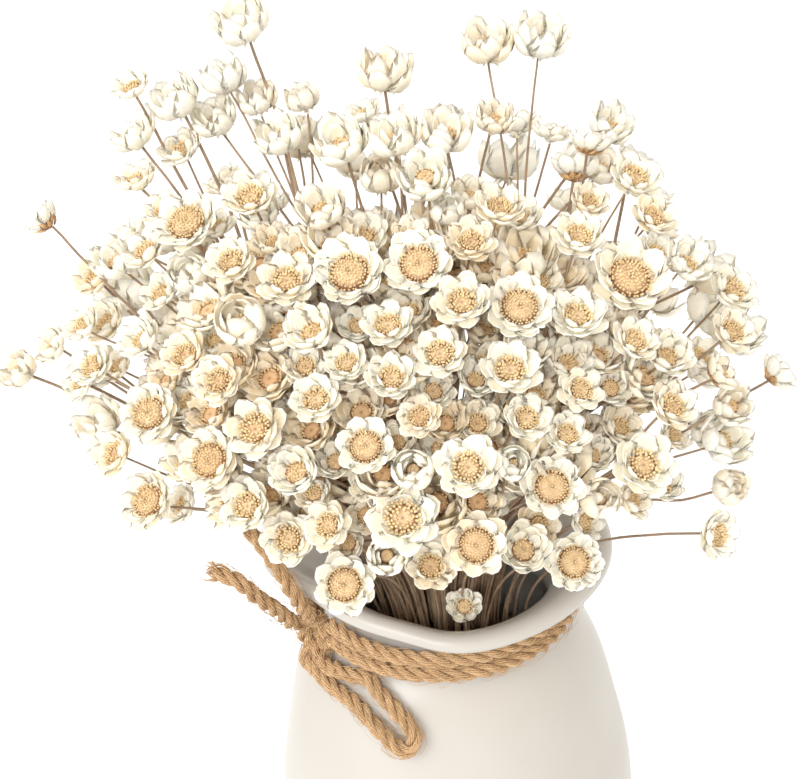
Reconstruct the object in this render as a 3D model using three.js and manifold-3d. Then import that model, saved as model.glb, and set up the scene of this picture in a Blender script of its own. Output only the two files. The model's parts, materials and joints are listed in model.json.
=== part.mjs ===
// A bouquet of small dried everlasting daisies standing in a white glazed vase,
// with jute twine wound twice round the vase's neck and knotted at the left.
// Millimetres, +Z up. The origin is the middle of the vase's foot.

import * as THREE from "three";
import { mergeVertices } from "three/addons/utils/BufferGeometryUtils.js";
import Module from "manifold-3d";

const wasm = await Module();
wasm.setup();

const TURN = 2 * Math.PI;
const degrees = THREE.MathUtils.degToRad;
const vector = (x, y, z) => new THREE.Vector3(x, y, z);

// Vase: radius and height along its outside, lip and inside
const RIM = 185;
const FLOOR = 6;
const VASE_SIDES = 28;
const OUTSIDE = [[38, 0], [46.5, 10], [55, 31], [60.5, 62], [60, 93], [56, 116],
  [50.6, 139], [44.4, 152], [38.6, 161], [38.6, 173]];
const LIP = [[43, 176.2], [50.5, 179.2], [53.6, 182.4], [50.6, RIM], [46.6, 184]];
const INSIDE = [[38, 177], [34.4, 168], [34.6, 158], [50, 131], [56, 92], [52, 36],
  [38, FLOOR + 2], [33, FLOOR]];
const LIP_STARTS = 173;

// The lip is pinched in on both sides of a small pouring mouth at the left.
const SPOUT_TURN = Math.PI;
const PINCH_AT = degrees(50);
const PINCH_WIDTH = degrees(36);
const PINCH_DEPTH = 0.135;
const SPOUT_FLARE = 0.09;
const SPOUT_WIDTH = degrees(14);
const HEEL_FLARE = 0.035;
const HEEL_WIDTH = degrees(30);

// Twine
const TWINE = 5.4;
const TWINE_SIDES = 8;
const WRAP_RADIUS = 42.2;
const WRAP_TOP = 170.8;
const WRAP_PITCH = 5.9;
const WRAP_STEPS = 17;
const KNOT_TURN = degrees(198);
const KNOT_HALF_TURN = degrees(11.5);
const KNOT_BAND = [[44.2, 172.6], [46.8, 171], [48.4, 165], [47.8, 159.5], [45.6, 156]];
const KNOT_CORE = [3.6, 5.6, 7];
const KNOT_CORE_AT = [43.6, 164.6];
const TAIL_LEFT = [[-49.8, -19, 172], [-54.4, -23.6, 181.4], [-59, -25.6, 188], [-63, -26, 193.5],
  [-68.4, -24, 195.9], [-73.4, -22, 196.9]];
const TAIL_BACK = [[-44.4, -22, 178.4], [-46.6, -24, 185], [-49.4, -22.8, 191.6], [-52.8, -20, 197],
  [-55.6, -17, 200.6], [-59, -14, 204], [-61.6, -11.6, 208]];
const TAIL_LOOP = [[-44.6, -20.4, 154.6], [-41.6, -24.4, 153.2], [-37.2, -30, 152.2],
  [-30.5, -37.3, 150.9],
  [-25.1, -43.6, 147.5], [-19.7, -48.5, 143.9], [-16.9, -50.4, 142.6], [-14, -51, 143.2], [-12.6, -50, 146],
  [-13.7, -48, 149], [-17.4, -44.5, 152.9], [-22.2, -39.8, 156.5], [-26.7, -34.6, 159.6],
  [-31.6, -31.6, 158.4], [-37.4, -27, 157.8]];

// The photograph's viewpoint, which the seen blooms' places are read from
const VIEW_DISTANCE = 610;
const VIEW_ELEVATION = degrees(36.5);
const VIEW_ROLL = degrees(-4);
const FOCAL_PIXELS = 1880;
const MIDDLE_PIXEL = [400, 389.5];
const RIM_PIXEL = [441, 541];

// The crown of the bouquet is a dome. Blooms lie on it, or a layer or two below.
const CROWN_CENTRE = vector(-4, 10, RIM + 68);
const CROWN_RADII = vector(105, 82, 77);
const LAYER_DEPTH = 0.14;

// Stems: each keeps to its own upright plane through the axis, so none cross.
const STEM_FOOT = 7;
const STEM_FOOT_SPREAD = 1.05;
const WAIST = RIM - 35;
const WAIST_RADIUS = 29;
const BEND_LENGTH = 75;
const BEND_STEP = degrees(30);
const STEEPEST = degrees(88);
const SPRAYS = 50;
const GATHER_ROUNDS = 6;
const STALK_LENGTH = 38;
const SHORTEST_RUN = 4;
const STEM_RADIUS = 1.35;
const STALK_RADIUS = 0.78;
const STALK_SWING = 0.06;
const FORK_STEP = 3.5;
const ROOT_ASIDE = 0.6;

// Far side, which the photograph doesn't show: blooms on a spiral over the dome
const SPIRAL_PLACES = 92;
const SPIRAL_REACH = 1.25;
const SPIRAL_TURN = Math.PI * (3 - Math.sqrt(5));
const HIDDEN_FROM = -0.15;
const HIDDEN_LOWEST = RIM + 24;
const HIDDEN_DEPTH = [0.84, 1];
const HIDDEN_WIDTH = [11.5, 17];
const HIDDEN_FORMS = ["plain", "cup", "plain", "bud", "plain", "deep", "plain"];
const SEED = 41;

// How far a bloom's facing sways, sideways and up
const SWAY_SIDEWAYS = [-0.22, 0.22];
const SWAY_UP = [-0.1, 0.25];

// Spacing: the room that things keep, and the share of a push that each of them gives way by
const SPACING_ROUNDS = 40;
const HEAD_SHARE = 0.5;
const HEAD_ROOM = 0.7;
const STALK_ROOM = 1.3;
const STEM_ROOM = 1.8;
const STEM_SAMPLE = 3;
const HEAD_GIVE = 0.35;
const HEAD_GIVE_TO_STALK = 0.18;
const HEAD_GIVE_TO_STEM = 0.5;
const STALK_PLACES = [0.2, 0.4, 0.6, 0.8, 1];
const STALK_GIVE = [0.3, 0.5, 0.5, 0.4, 0.2];
const HEAD_FOLLOWS = [0, 0, 0.05, 0.15, 0.3];
const MIDDLE_FOLLOWS = 0.5;
const MIDDLE_SETTLES = 0.03;

// Each form is a run of rings from the stalk up, in shares of the bloom's width: a belly below the
// petals, one or two rows of petals, the edge of the disc and the height of its middle. A row of petals
// alternates tips and notches: [petals, tip radius, tip height, notch radius, notch height, turned].
// "faces" is how far the bloom turns from its stem's direction towards the viewer.
const BASE_DEPTH = 0.3;
const FORMS = {
  open: {
    faces: 0.45,
    petals: [[6, 0.5, 0.06, 0.37, 0, 0], [6, 0.35, 0.15, 0.25, 0.04, 0.5]],
    disc: [0.17, -0.02],
    centre: 0.05,
  },
  wide: {
    faces: 0.85,
    petals: [[6, 0.5, 0.05, 0.4, 0.01, 0], [6, 0.39, 0.13, 0.3, 0.05, 0.5]],
    disc: [0.25, 0],
    centre: 0.07,
  },
  plain: { faces: 0.4, petals: [[5, 0.5, 0.08, 0.37, 0.02, 0]], disc: [0.19, -0.02], centre: 0.05 },
  deep: { faces: 0.4, petals: [[6, 0.49, 0.17, 0.39, 0.09, 0]], disc: [0.2, -0.1], centre: -0.05 },
  cup: {
    faces: 0,
    belly: [6, 0.36, -0.06],
    petals: [[6, 0.41, 0.29, 0.38, 0.17, 0]],
    disc: [0.2, 0.02],
    centre: 0.06,
  },
  bud: { faces: 0.1, belly: [6, 0.4, 0], petals: [[6, 0.24, 0.34, 0.3, 0.25, 0]], centre: 0.27 },
  back: { faces: -0.45, petals: [[6, 0.48, 0.14, 0.38, 0.05, 0]], disc: [0.2, 0], centre: 0.06 },
};

// The blooms that the photograph shows, by pixel: [across, down, width, layer, form]
const SEEN = [
  [240, 20, 50, 0, "cup"], [232, 90, 42, 0, "cup"], [45, 222, 40, 0, "back"], [140, 95, 40, 0, "plain"],
  [175, 105, 45, 0, "cup"], [205, 110, 40, 1, "cup"], [135, 145, 50, 0, "deep"], [185, 140, 45, 1, "plain"],
  [140, 180, 45, 0, "plain"], [245, 95, 35, 1, "cup"], [180, 225, 65, 0, "wide"], [145, 205, 40, 1, "plain"],
  [145, 248, 45, 0, "plain"], [250, 195, 55, 0, "open"], [215, 225, 40, 1, "plain"], [115, 260, 40, 0, "cup"],
  [95, 270, 45, 1, "plain"], [270, 235, 40, 1, "deep"], [230, 260, 50, 0, "open"], [190, 270, 45, 1, "bud"],
  [260, 215, 35, 1, "cup"], [302, 98, 36, 0, "bud"], [278, 135, 42, 0, "cup"], [340, 142, 46, 0, "cup"],
  [385, 72, 48, 0, "cup"], [390, 137, 46, 0, "cup"], [446, 132, 46, 0, "cup"], [385, 175, 45, 1, "bud"],
  [428, 175, 46, 0, "cup"], [320, 208, 44, 0, "cup"], [468, 195, 32, 1, "cup"], [445, 210, 36, 1, "bud"],
  [365, 235, 50, 1, "plain"], [410, 235, 40, 1, "plain"], [487, 42, 46, 0, "cup"], [542, 38, 46, 0, "cup"],
  [494, 118, 34, 0, "cup"], [590, 140, 44, 0, "back"], [612, 125, 40, 1, "cup"], [575, 165, 48, 1, "back"],
  [600, 165, 36, 2, "cup"], [637, 175, 55, 0, "open"], [655, 215, 45, 0, "open"], [590, 200, 40, 1, "plain"],
  [500, 205, 50, 0, "open"], [520, 215, 45, 1, "plain"], [585, 240, 52, 0, "open"], [690, 260, 50, 0, "deep"],
  [658, 250, 40, 1, "plain"], [470, 240, 48, 0, "open"], [80, 325, 42, 0, "plain"], [105, 318, 45, 1, "plain"],
  [137, 338, 45, 0, "deep"], [160, 290, 42, 1, "plain"], [45, 350, 42, 0, "plain"], [25, 365, 36, 0, "cup"],
  [90, 365, 45, 0, "open"], [118, 365, 35, 1, "plain"], [185, 355, 48, 0, "open"], [215, 378, 48, 0, "open"],
  [150, 410, 60, 0, "wide"], [183, 402, 45, 1, "plain"], [95, 415, 45, 1, "cup"], [112, 453, 48, 0, "open"],
  [240, 320, 55, 0, "bud"], [215, 340, 40, 1, "plain"], [80, 388, 40, 1, "plain"], [150, 375, 36, 2, "plain"],
  [265, 395, 45, 2, "plain"], [307, 282, 58, 0, "open"], [362, 275, 70, 0, "wide"], [408, 283, 66, 0, "wide"],
  [310, 325, 52, 0, "deep"], [358, 325, 40, 1, "plain"], [390, 325, 52, 0, "open"], [455, 305, 55, 0, "open"],
  [270, 360, 42, 2, "deep"], [305, 365, 44, 1, "plain"], [352, 370, 44, 0, "open"], [385, 375, 50, 0, "open"],
  [322, 392, 50, 0, "open"], [413, 408, 44, 0, "open"], [445, 340, 52, 0, "open"], [440, 383, 42, 1, "deep"],
  [472, 380, 42, 1, "deep"], [262, 437, 60, 0, "open"], [290, 415, 38, 2, "deep"], [315, 435, 38, 2, "deep"],
  [375, 450, 58, 0, "wide"], [335, 460, 40, 1, "deep"], [405, 440, 40, 1, "deep"], [437, 440, 42, 1, "deep"],
  [470, 425, 46, 1, "plain"], [340, 430, 40, 2, "plain"], [212, 465, 62, 0, "wide"], [287, 302, 30, 1, "back"],
  [510, 315, 66, 0, "wide"], [622, 280, 76, 0, "wide"], [565, 315, 56, 0, "open"], [513, 365, 58, 0, "open"],
  [568, 355, 50, 1, "deep"], [540, 280, 44, 1, "plain"], [600, 310, 40, 1, "plain"], [640, 335, 48, 0, "open"],
  [665, 355, 48, 0, "deep"], [610, 350, 38, 2, "deep"], [580, 393, 44, 0, "open"], [612, 385, 42, 1, "deep"],
  [527, 410, 48, 0, "open"], [567, 428, 44, 0, "open"], [668, 400, 50, 0, "open"], [625, 430, 44, 1, "plain"],
  [500, 430, 40, 2, "deep"], [675, 435, 36, 1, "plain"], [465, 465, 62, 0, "open"], [505, 465, 38, 0, "bud"],
  [640, 465, 62, 0, "open"], [575, 455, 36, 2, "deep"], [600, 450, 38, 1, "deep"], [550, 485, 62, 0, "wide"],
  [735, 295, 50, 0, "open"], [733, 330, 45, 0, "open"], [780, 372, 42, 0, "back"], [700, 355, 40, 1, "plain"],
  [725, 365, 42, 0, "back"], [733, 405, 36, 0, "cup"], [725, 440, 46, 0, "cup"], [730, 487, 40, 0, "bud"],
  [720, 535, 48, 0, "open"], [705, 430, 34, 1, "cup"], [145, 500, 58, 0, "wide"], [180, 505, 42, 1, "plain"],
  [245, 503, 54, 0, "open"], [285, 463, 52, 0, "deep"], [285, 535, 54, 0, "open"], [315, 490, 40, 1, "plain"],
  [325, 525, 48, 0, "open"], [345, 580, 60, 0, "wide"], [350, 545, 40, 1, "deep"], [365, 515, 42, 1, "deep"],
  [370, 485, 40, 1, "plain"], [403, 510, 70, 0, "open"], [415, 472, 44, 0, "bud"], [437, 520, 40, 1, "plain"],
  [395, 555, 44, 0, "bud"], [432, 560, 50, 0, "open"], [472, 548, 62, 0, "wide"], [520, 548, 52, 0, "deep"],
  [568, 560, 56, 0, "wide"], [500, 505, 40, 2, "plain"], [605, 495, 44, 0, "bud"], [655, 490, 40, 1, "plain"],
  [635, 500, 40, 1, "plain"], [540, 525, 44, 1, "plain"], [590, 520, 40, 1, "plain"],
];

// One small bloom stands low in the vase's mouth, on a stem of its own.
const MOUTH_BLOOM = { pixel: [464, 606], width: 11, height: RIM - 4, form: "plain", spin: 0.4 };
const MOUTH_STEM_LEAN = vector(4, 1, 0);
const MOUTH_STEM_SAG = vector(0, -1.5, 0);
const MOUTH_LOOKS_UP = vector(0, 0, 0.4);

// Colours
const GLAZE = new THREE.MeshStandardMaterial({ color: 0xf0ece4, roughness: 0.25, metalness: 0 });
const JUTE = new THREE.MeshStandardMaterial({ color: 0xc79a63, roughness: 0.9, metalness: 0 });
const DRIED = new THREE.MeshStandardMaterial({ color: 0xf1e6cb, roughness: 0.85, metalness: 0 });

// Random draws, the same on every run
let drawn = SEED;
function draw() {
  drawn = (drawn * 1664525 + 1013904223) % 4294967296;
  return drawn / 4294967296;
}
function drawBetween(low, high) {
  return low + (high - low) * draw();
}

// Solids
function bare(geometry) {
  geometry.deleteAttribute("normal");
  geometry.deleteAttribute("uv");
  return mergeVertices(geometry, 1e-4);
}

function solid(geometry) {
  const vertProperties = new Float32Array(geometry.attributes.position.array);
  const triVerts = new Uint32Array(geometry.index.array);
  return new wasm.Manifold(new wasm.Mesh({ numProp: 3, vertProperties, triVerts }));
}

function fused(geometries) {
  const joined = geometries.map(solid).reduce((whole, next) => whole.add(next));
  const largest = joined.decompose().sort((a, b) => b.volume() - a.volume())[0];
  const mesh = largest.getMesh();
  const geometry = new THREE.BufferGeometry();
  geometry.setAttribute("position", new THREE.BufferAttribute(mesh.vertProperties, 3));
  geometry.setIndex(new THREE.BufferAttribute(mesh.triVerts, 1));
  return geometry;
}

function piece(name, geometry, material) {
  const mesh = new THREE.Mesh(geometry, material);
  mesh.name = name;
  return mesh;
}

// Vase
function lipFactor(angle) {
  const across = Math.abs(Math.atan2(Math.sin(angle - SPOUT_TURN), Math.cos(angle - SPOUT_TURN)));
  const pinch = PINCH_DEPTH * Math.exp(-(((across - PINCH_AT) / PINCH_WIDTH) ** 4));
  const spout = SPOUT_FLARE * Math.exp(-((across / SPOUT_WIDTH) ** 2));
  const heel = HEEL_FLARE * Math.exp(-(((Math.PI - across) / HEEL_WIDTH) ** 2));
  return 1 - pinch + spout + heel;
}

function vase() {
  const profile = [[0, 0], ...OUTSIDE, ...LIP, ...INSIDE, [0, FLOOR]];
  const points = profile.map(([radius, height]) => new THREE.Vector2(radius, height));
  const turned = bare(new THREE.LatheGeometry(points, VASE_SIDES));
  turned.rotateX(Math.PI / 2);
  const place = turned.attributes.position;
  for (let i = 0; i < place.count; i += 1) {
    const share = THREE.MathUtils.smoothstep(place.getZ(i), LIP_STARTS, LIP[1][1]);
    const factor = 1 + share * (lipFactor(Math.atan2(place.getY(i), place.getX(i))) - 1);
    place.setX(i, place.getX(i) * factor);
    place.setY(i, place.getY(i) * factor);
  }
  return piece("vase", turned, GLAZE);
}

// Twine
function ropeSection() {
  const section = new THREE.Shape();
  for (let i = 0; i < TWINE_SIDES; i += 1) {
    const angle = ((i + 0.5) / TWINE_SIDES) * TURN;
    const corner = [(Math.cos(angle) * TWINE) / 2, (Math.sin(angle) * TWINE) / 2];
    if (i === 0) section.moveTo(...corner);
    else section.lineTo(...corner);
  }
  section.closePath();
  return section;
}

function rope(points, steps) {
  const extrudePath = new THREE.CatmullRomCurve3(points, false, "centripetal");
  return bare(new THREE.ExtrudeGeometry(ropeSection(), { steps, extrudePath, bevelEnabled: false }));
}

function places(list) {
  return list.map(([x, y, z]) => vector(x, y, z));
}

function turnOfTwine(height) {
  const sweep = TURN - 2 * KNOT_HALF_TURN;
  const points = [];
  for (let i = 0; i <= WRAP_STEPS; i += 1) {
    const angle = KNOT_TURN + KNOT_HALF_TURN + (i / WRAP_STEPS) * sweep;
    points.push(vector(WRAP_RADIUS * Math.cos(angle), WRAP_RADIUS * Math.sin(angle), height));
  }
  return rope(points, WRAP_STEPS);
}

function knot() {
  const out = vector(Math.cos(KNOT_TURN), Math.sin(KNOT_TURN), 0);
  const band = rope(KNOT_BAND.map(([radius, height]) => out.clone().multiplyScalar(radius).setZ(height)), 6);
  const core = bare(new THREE.SphereGeometry(1, 8, 6));
  core.scale(...KNOT_CORE);
  core.rotateZ(KNOT_TURN);
  core.translate(out.x * KNOT_CORE_AT[0], out.y * KNOT_CORE_AT[0], KNOT_CORE_AT[1]);
  return fused([band, core]);
}

function twine() {
  const parts = {
    twine_turn_upper: turnOfTwine(WRAP_TOP),
    twine_turn_lower: turnOfTwine(WRAP_TOP - WRAP_PITCH),
    twine_knot: knot(),
    twine_tail_left: rope(places(TAIL_LEFT), 7),
    twine_tail_back: rope(places(TAIL_BACK), 7),
    twine_loop: rope(places(TAIL_LOOP), 24),
  };
  return Object.entries(parts).map(([name, geometry]) => piece(name, geometry, JUTE));
}

// Viewpoint
function viewpoint() {
  const rim = vector(0, 0, RIM);
  const back = vector(0, -Math.cos(VIEW_ELEVATION), Math.sin(VIEW_ELEVATION));
  const eye = rim.clone().addScaledVector(back, VIEW_DISTANCE);
  const ahead = back.clone().negate();
  const level = ahead.clone().cross(vector(0, 0, 1)).normalize();
  const upright = level.clone().cross(ahead);
  const right = level.clone().applyAxisAngle(ahead, -VIEW_ROLL);
  const up = upright.clone().applyAxisAngle(ahead, -VIEW_ROLL);
  // The view is swung so that the middle of the rim is seen at its pixel.
  const swing = new THREE.Quaternion().setFromUnitVectors(vector(0, 0, 1), pixelDirection(RIM_PIXEL));
  return { eye, right, up, ahead, swing };
}

function pixelDirection([across, down]) {
  return vector(across - MIDDLE_PIXEL[0], MIDDLE_PIXEL[1] - down, FOCAL_PIXELS).normalize();
}

const VIEW = viewpoint();

function sightLine(pixel) {
  const local = pixelDirection(pixel).applyQuaternion(VIEW.swing.clone().invert());
  return vector(0, 0, 0)
    .addScaledVector(VIEW.right, local.x)
    .addScaledVector(VIEW.up, local.y)
    .addScaledVector(VIEW.ahead, local.z)
    .normalize();
}

// Where a line of sight meets the dome, or comes nearest to it
function onCrown(line, layer) {
  const radii = CROWN_RADII.clone().multiplyScalar(1 - LAYER_DEPTH * layer);
  const start = VIEW.eye.clone().sub(CROWN_CENTRE).divide(radii);
  const step = line.clone().divide(radii);
  const a = step.dot(step);
  const b = start.dot(step);
  const inside = b * b - a * (start.dot(start) - 1);
  const reach = inside > 0 ? (-b - Math.sqrt(inside)) / a : -b / a;
  return VIEW.eye.clone().addScaledVector(line, reach);
}

// Stems
function directionOf(angle, turn) {
  return vector(Math.sin(angle) * Math.cos(turn), Math.sin(angle) * Math.sin(turn), Math.cos(angle));
}

// Radius and height along a stem that ends up leaning by angle, after bending by part of it
function bendPoint(angle, part) {
  const waist = (WAIST_RADIUS * angle) / STEEPEST;
  const size = BEND_LENGTH / angle;
  return [waist + size * (1 - Math.cos(part)), WAIST + size * Math.sin(part)];
}

// The lean of the stem that passes through a place
function stemAngle(place) {
  const radius = Math.hypot(place.x, place.y);
  let low = 0.001;
  let high = STEEPEST;
  for (let i = 0; i < 40; i += 1) {
    const angle = (low + high) / 2;
    const [bendRadius, bendHeight] = bendPoint(angle, angle);
    const side = (radius - bendRadius) * Math.cos(angle) - (place.z - bendHeight) * Math.sin(angle);
    if (side > 0) low = angle;
    else high = angle;
  }
  return (low + high) / 2;
}

// Blooms
function bloomAt(place, width, form, line) {
  const angle = stemAngle(place);
  const along = directionOf(angle, Math.atan2(place.y, place.x));
  const [bendRadius, bendHeight] = bendPoint(angle, angle);
  const run = Math.hypot(Math.hypot(place.x, place.y) - bendRadius, place.z - bendHeight);
  return { place, width, form, line, along, run };
}

function seenBlooms() {
  return SEEN.map(([across, down, pixels, layer, form]) => {
    const line = sightLine([across, down]);
    const place = onCrown(line, layer);
    const depth = place.clone().sub(VIEW.eye).dot(sightLine(MIDDLE_PIXEL));
    return bloomAt(place, (pixels * depth) / FOCAL_PIXELS, form, line);
  });
}

function hiddenBlooms() {
  const blooms = [];
  for (let i = 0; i < SPIRAL_PLACES; i += 1) {
    const height = 1 - ((i + 0.5) / SPIRAL_PLACES) * SPIRAL_REACH;
    const outward = directionOf(Math.acos(height), i * SPIRAL_TURN);
    const depth = drawBetween(...HIDDEN_DEPTH);
    const place = outward.clone().multiply(CROWN_RADII).multiplyScalar(depth).add(CROWN_CENTRE);
    const width = drawBetween(...HIDDEN_WIDTH);
    const form = HIDDEN_FORMS[Math.floor(draw() * HIDDEN_FORMS.length)];
    const away = outward.divide(CROWN_RADII).normalize().dot(place.clone().sub(VIEW.eye).normalize());
    if (away > HIDDEN_FROM && place.z > HIDDEN_LOWEST) blooms.push(bloomAt(place, width, form, null));
  }
  return blooms;
}

function turnToFace(bloom) {
  const toViewer = VIEW.eye.clone().sub(bloom.place).normalize();
  const faces = bloom.line ? FORMS[bloom.form].faces : 0;
  const sway = vector(drawBetween(...SWAY_SIDEWAYS), drawBetween(...SWAY_SIDEWAYS), drawBetween(...SWAY_UP));
  bloom.facing = bloom.along.clone().addScaledVector(toViewer, faces).add(sway).normalize();
  bloom.spin = draw() * TURN;
}

function baseOf(bloom) {
  return bloom.place.clone().addScaledVector(bloom.facing, -BASE_DEPTH * bloom.width);
}

// Sprays: blooms whose stems lie close together share one stem
function nearest(axes, along) {
  let best = 0;
  axes.forEach((axis, i) => {
    if (axis.dot(along) > axes[best].dot(along)) best = i;
  });
  return best;
}

function middleOf(blooms) {
  return blooms.reduce((sum, bloom) => sum.add(bloom.along), vector(0, 0, 0)).normalize();
}

// Axes start as far apart as they can be, and each then moves to the middle of its group.
function gather(blooms) {
  const axes = [blooms[0].along];
  while (axes.length < SPRAYS) {
    const loneliest = blooms.reduce((best, bloom) => {
      const close = axes[nearest(axes, bloom.along)].dot(bloom.along);
      return close < best.close ? { close, bloom } : best;
    }, { close: 2, bloom: null });
    axes.push(loneliest.bloom.along);
  }
  let groups = [];
  for (let round = 0; round < GATHER_ROUNDS; round += 1) {
    groups = axes.map(() => []);
    blooms.forEach((bloom) => groups[nearest(axes, bloom.along)].push(bloom));
    groups.forEach((group, i) => {
      if (group.length) axes[i] = middleOf(group);
    });
  }
  return groups.filter((group) => group.length).map(sprayOf);
}

function sprayOf(blooms) {
  const along = middleOf(blooms);
  const angle = Math.acos(along.z);
  const turn = Math.atan2(along.y, along.x);
  const usualRun = blooms.reduce((sum, bloom) => sum + bloom.run, 0) / blooms.length;
  const run = Math.max(SHORTEST_RUN, usualRun - STALK_LENGTH);
  const outline = [[bendPoint(angle, 0)[0] * STEM_FOOT_SPREAD, STEM_FOOT]];
  const bends = Math.ceil(angle / BEND_STEP);
  for (let i = 0; i <= bends; i += 1) outline.push(bendPoint(angle, (angle * i) / bends));
  const [bendRadius, bendHeight] = bendPoint(angle, angle);
  outline.push([bendRadius + run * Math.sin(angle), bendHeight + run * Math.cos(angle)]);
  const stem = outline.map(([radius, height]) => vector(radius * Math.cos(turn), radius * Math.sin(turn), height));
  // The bloom most in line with the stem ends it. The others leave it one below another.
  blooms.sort((a, b) => b.along.dot(along) - a.along.dot(along));
  blooms.forEach((bloom, i) => {
    const [fork, leaves] = pointBelow(stem, i * FORK_STEP);
    const aside = baseOf(bloom).sub(fork);
    aside.addScaledVector(leaves, -aside.dot(leaves)).normalize();
    bloom.fork = i === 0 ? fork : fork.addScaledVector(aside, ROOT_ASIDE);
    bloom.leaves = leaves;
    bloom.middle = restingMiddle(bloom);
  });
  return { blooms, stem };
}

// The place and direction of a stem a distance below its upper end
function pointBelow(stem, distance) {
  let left = distance;
  let i = stem.length - 1;
  while (left > stem[i].distanceTo(stem[i - 1])) {
    left -= stem[i].distanceTo(stem[i - 1]);
    i -= 1;
  }
  const ahead = stem[i].clone().sub(stem[i - 1]).normalize();
  return [stem[i].clone().addScaledVector(ahead, -left), ahead];
}

// A stalk leaves the fork along the stem and reaches the bloom along its facing.
function restingMiddle(bloom) {
  const base = baseOf(bloom);
  const length = base.distanceTo(bloom.fork);
  return base.clone().add(bloom.fork).multiplyScalar(0.5)
    .addScaledVector(bloom.leaves, length * STALK_SWING)
    .addScaledVector(bloom.facing, -length * STALK_SWING);
}

function stalkPoint(bloom, share) {
  return bloom.fork.clone().multiplyScalar((1 - share) * (1 - 2 * share))
    .addScaledVector(bloom.middle, 4 * share * (1 - share))
    .addScaledVector(baseOf(bloom), share * (2 * share - 1));
}

// Spacing: heads that crowd each other, a stalk or a stem move apart, mostly along the line of sight.
function pushApart(from, to, room) {
  const push = from.clone().sub(to);
  const distance = push.length() + 1e-9;
  return push.multiplyScalar(Math.max(0, room - distance) / distance);
}

function stemSamples(sprays) {
  const samples = [];
  sprays.forEach(({ stem }) => {
    for (let i = 1; i + 1 < stem.length; i += 1) {
      const steps = Math.max(1, Math.floor(stem[i].distanceTo(stem[i + 1]) / STEM_SAMPLE));
      for (let j = 1; j <= steps; j += 1) samples.push(stem[i].clone().lerp(stem[i + 1], j / steps));
    }
  });
  return samples;
}

function spaceOut(blooms, sprays) {
  const stems = stemSamples(sprays);
  for (let round = 0; round < SPACING_ROUNDS; round += 1) {
    const moves = blooms.map(() => vector(0, 0, 0));
    const bends = blooms.map(() => vector(0, 0, 0));
    const stalks = blooms.map((bloom) => STALK_PLACES.map((share) => stalkPoint(bloom, share)));
    blooms.forEach((bloom, i) => {
      blooms.forEach((other, j) => {
        if (i === j) return;
        const room = (bloom.width + other.width) * HEAD_SHARE + HEAD_ROOM;
        moves[i].addScaledVector(pushApart(bloom.place, other.place, room), HEAD_GIVE);
        stalks[i].forEach((point, k) => {
          const push = pushApart(point, other.place, other.width * HEAD_SHARE + STALK_ROOM);
          bends[i].addScaledVector(push, STALK_GIVE[k]);
          moves[i].addScaledVector(push, HEAD_FOLLOWS[k]);
          moves[j].addScaledVector(push, -HEAD_GIVE_TO_STALK);
        });
      });
      stems.forEach((point) => {
        const push = pushApart(point, bloom.place, bloom.width * HEAD_SHARE + STEM_ROOM);
        moves[i].addScaledVector(push, -HEAD_GIVE_TO_STEM);
      });
    });
    blooms.forEach((bloom, i) => {
      const move = moves[i];
      // A bloom that the photograph shows moves half as far across the line of sight as along it.
      if (bloom.line) move.addScaledVector(bloom.line, move.dot(bloom.line)).multiplyScalar(0.5);
      bloom.place.add(move);
      bloom.middle.add(bends[i]).addScaledVector(move, MIDDLE_FOLLOWS);
      bloom.middle.lerp(restingMiddle(bloom), MIDDLE_SETTLES);
    });
  }
}

// Meshes of rings, stitched from one ring to the next
class RingSkin {
  constructor() {
    this.positions = [];
    this.faces = [];
  }

  point(place) {
    this.positions.push(place.x, place.y, place.z);
    return this.positions.length / 3 - 1;
  }

  ring(points, phase) {
    const first = this.positions.length / 3;
    points.forEach((place) => this.point(place));
    return { first, count: points.length, phase };
  }

  corner(ring, i) {
    return ring.first + (((i % ring.count) + ring.count) % ring.count);
  }

  stitch(low, high) {
    const lowStep = TURN / low.count;
    const highStep = TURN / high.count;
    const skip = Math.round((low.phase - high.phase) / highStep);
    let i = 0;
    let j = 0;
    while (i < low.count || j < high.count) {
      const nextLow = low.phase + (i + 1) * lowStep;
      const nextHigh = high.phase + (skip + j + 1) * highStep;
      const corners = [this.corner(low, i), this.corner(high, skip + j)];
      if (j >= high.count || (i < low.count && nextLow < nextHigh)) {
        this.faces.push(corners[0], this.corner(low, i + 1), corners[1]);
        i += 1;
      } else {
        this.faces.push(corners[0], this.corner(high, skip + j + 1), corners[1]);
        j += 1;
      }
    }
  }

  close(ring, tip) {
    const top = this.point(tip);
    for (let i = 0; i < ring.count; i += 1) {
      this.faces.push(this.corner(ring, i), this.corner(ring, i + 1), top);
    }
  }

  cap(ring) {
    this.faces.push(this.corner(ring, 0), this.corner(ring, 2), this.corner(ring, 1));
  }

  geometry() {
    const geometry = new THREE.BufferGeometry();
    geometry.setAttribute("position", new THREE.Float32BufferAttribute(this.positions, 3));
    geometry.setIndex(this.faces);
    return geometry;
  }
}

function ringPoints(centre, axes, count, phase, radius) {
  const points = [];
  for (let i = 0; i < count; i += 1) {
    const angle = phase + (i / count) * TURN;
    points.push(centre.clone()
      .addScaledVector(axes[0], radius * Math.cos(angle))
      .addScaledVector(axes[1], radius * Math.sin(angle)));
  }
  return points;
}

// Two directions square to a path, the first kept as near as it can be to a given one
function squareTo(ahead, side) {
  const first = side.clone().addScaledVector(ahead, -side.dot(ahead)).normalize();
  return [first, ahead.clone().cross(first)];
}

function sideOf(facing, leaving) {
  const side = facing.clone().cross(leaving);
  return side.length() > 0.05 ? side.normalize() : facing.clone().cross(vector(1, 0.3, 0)).normalize();
}

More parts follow.
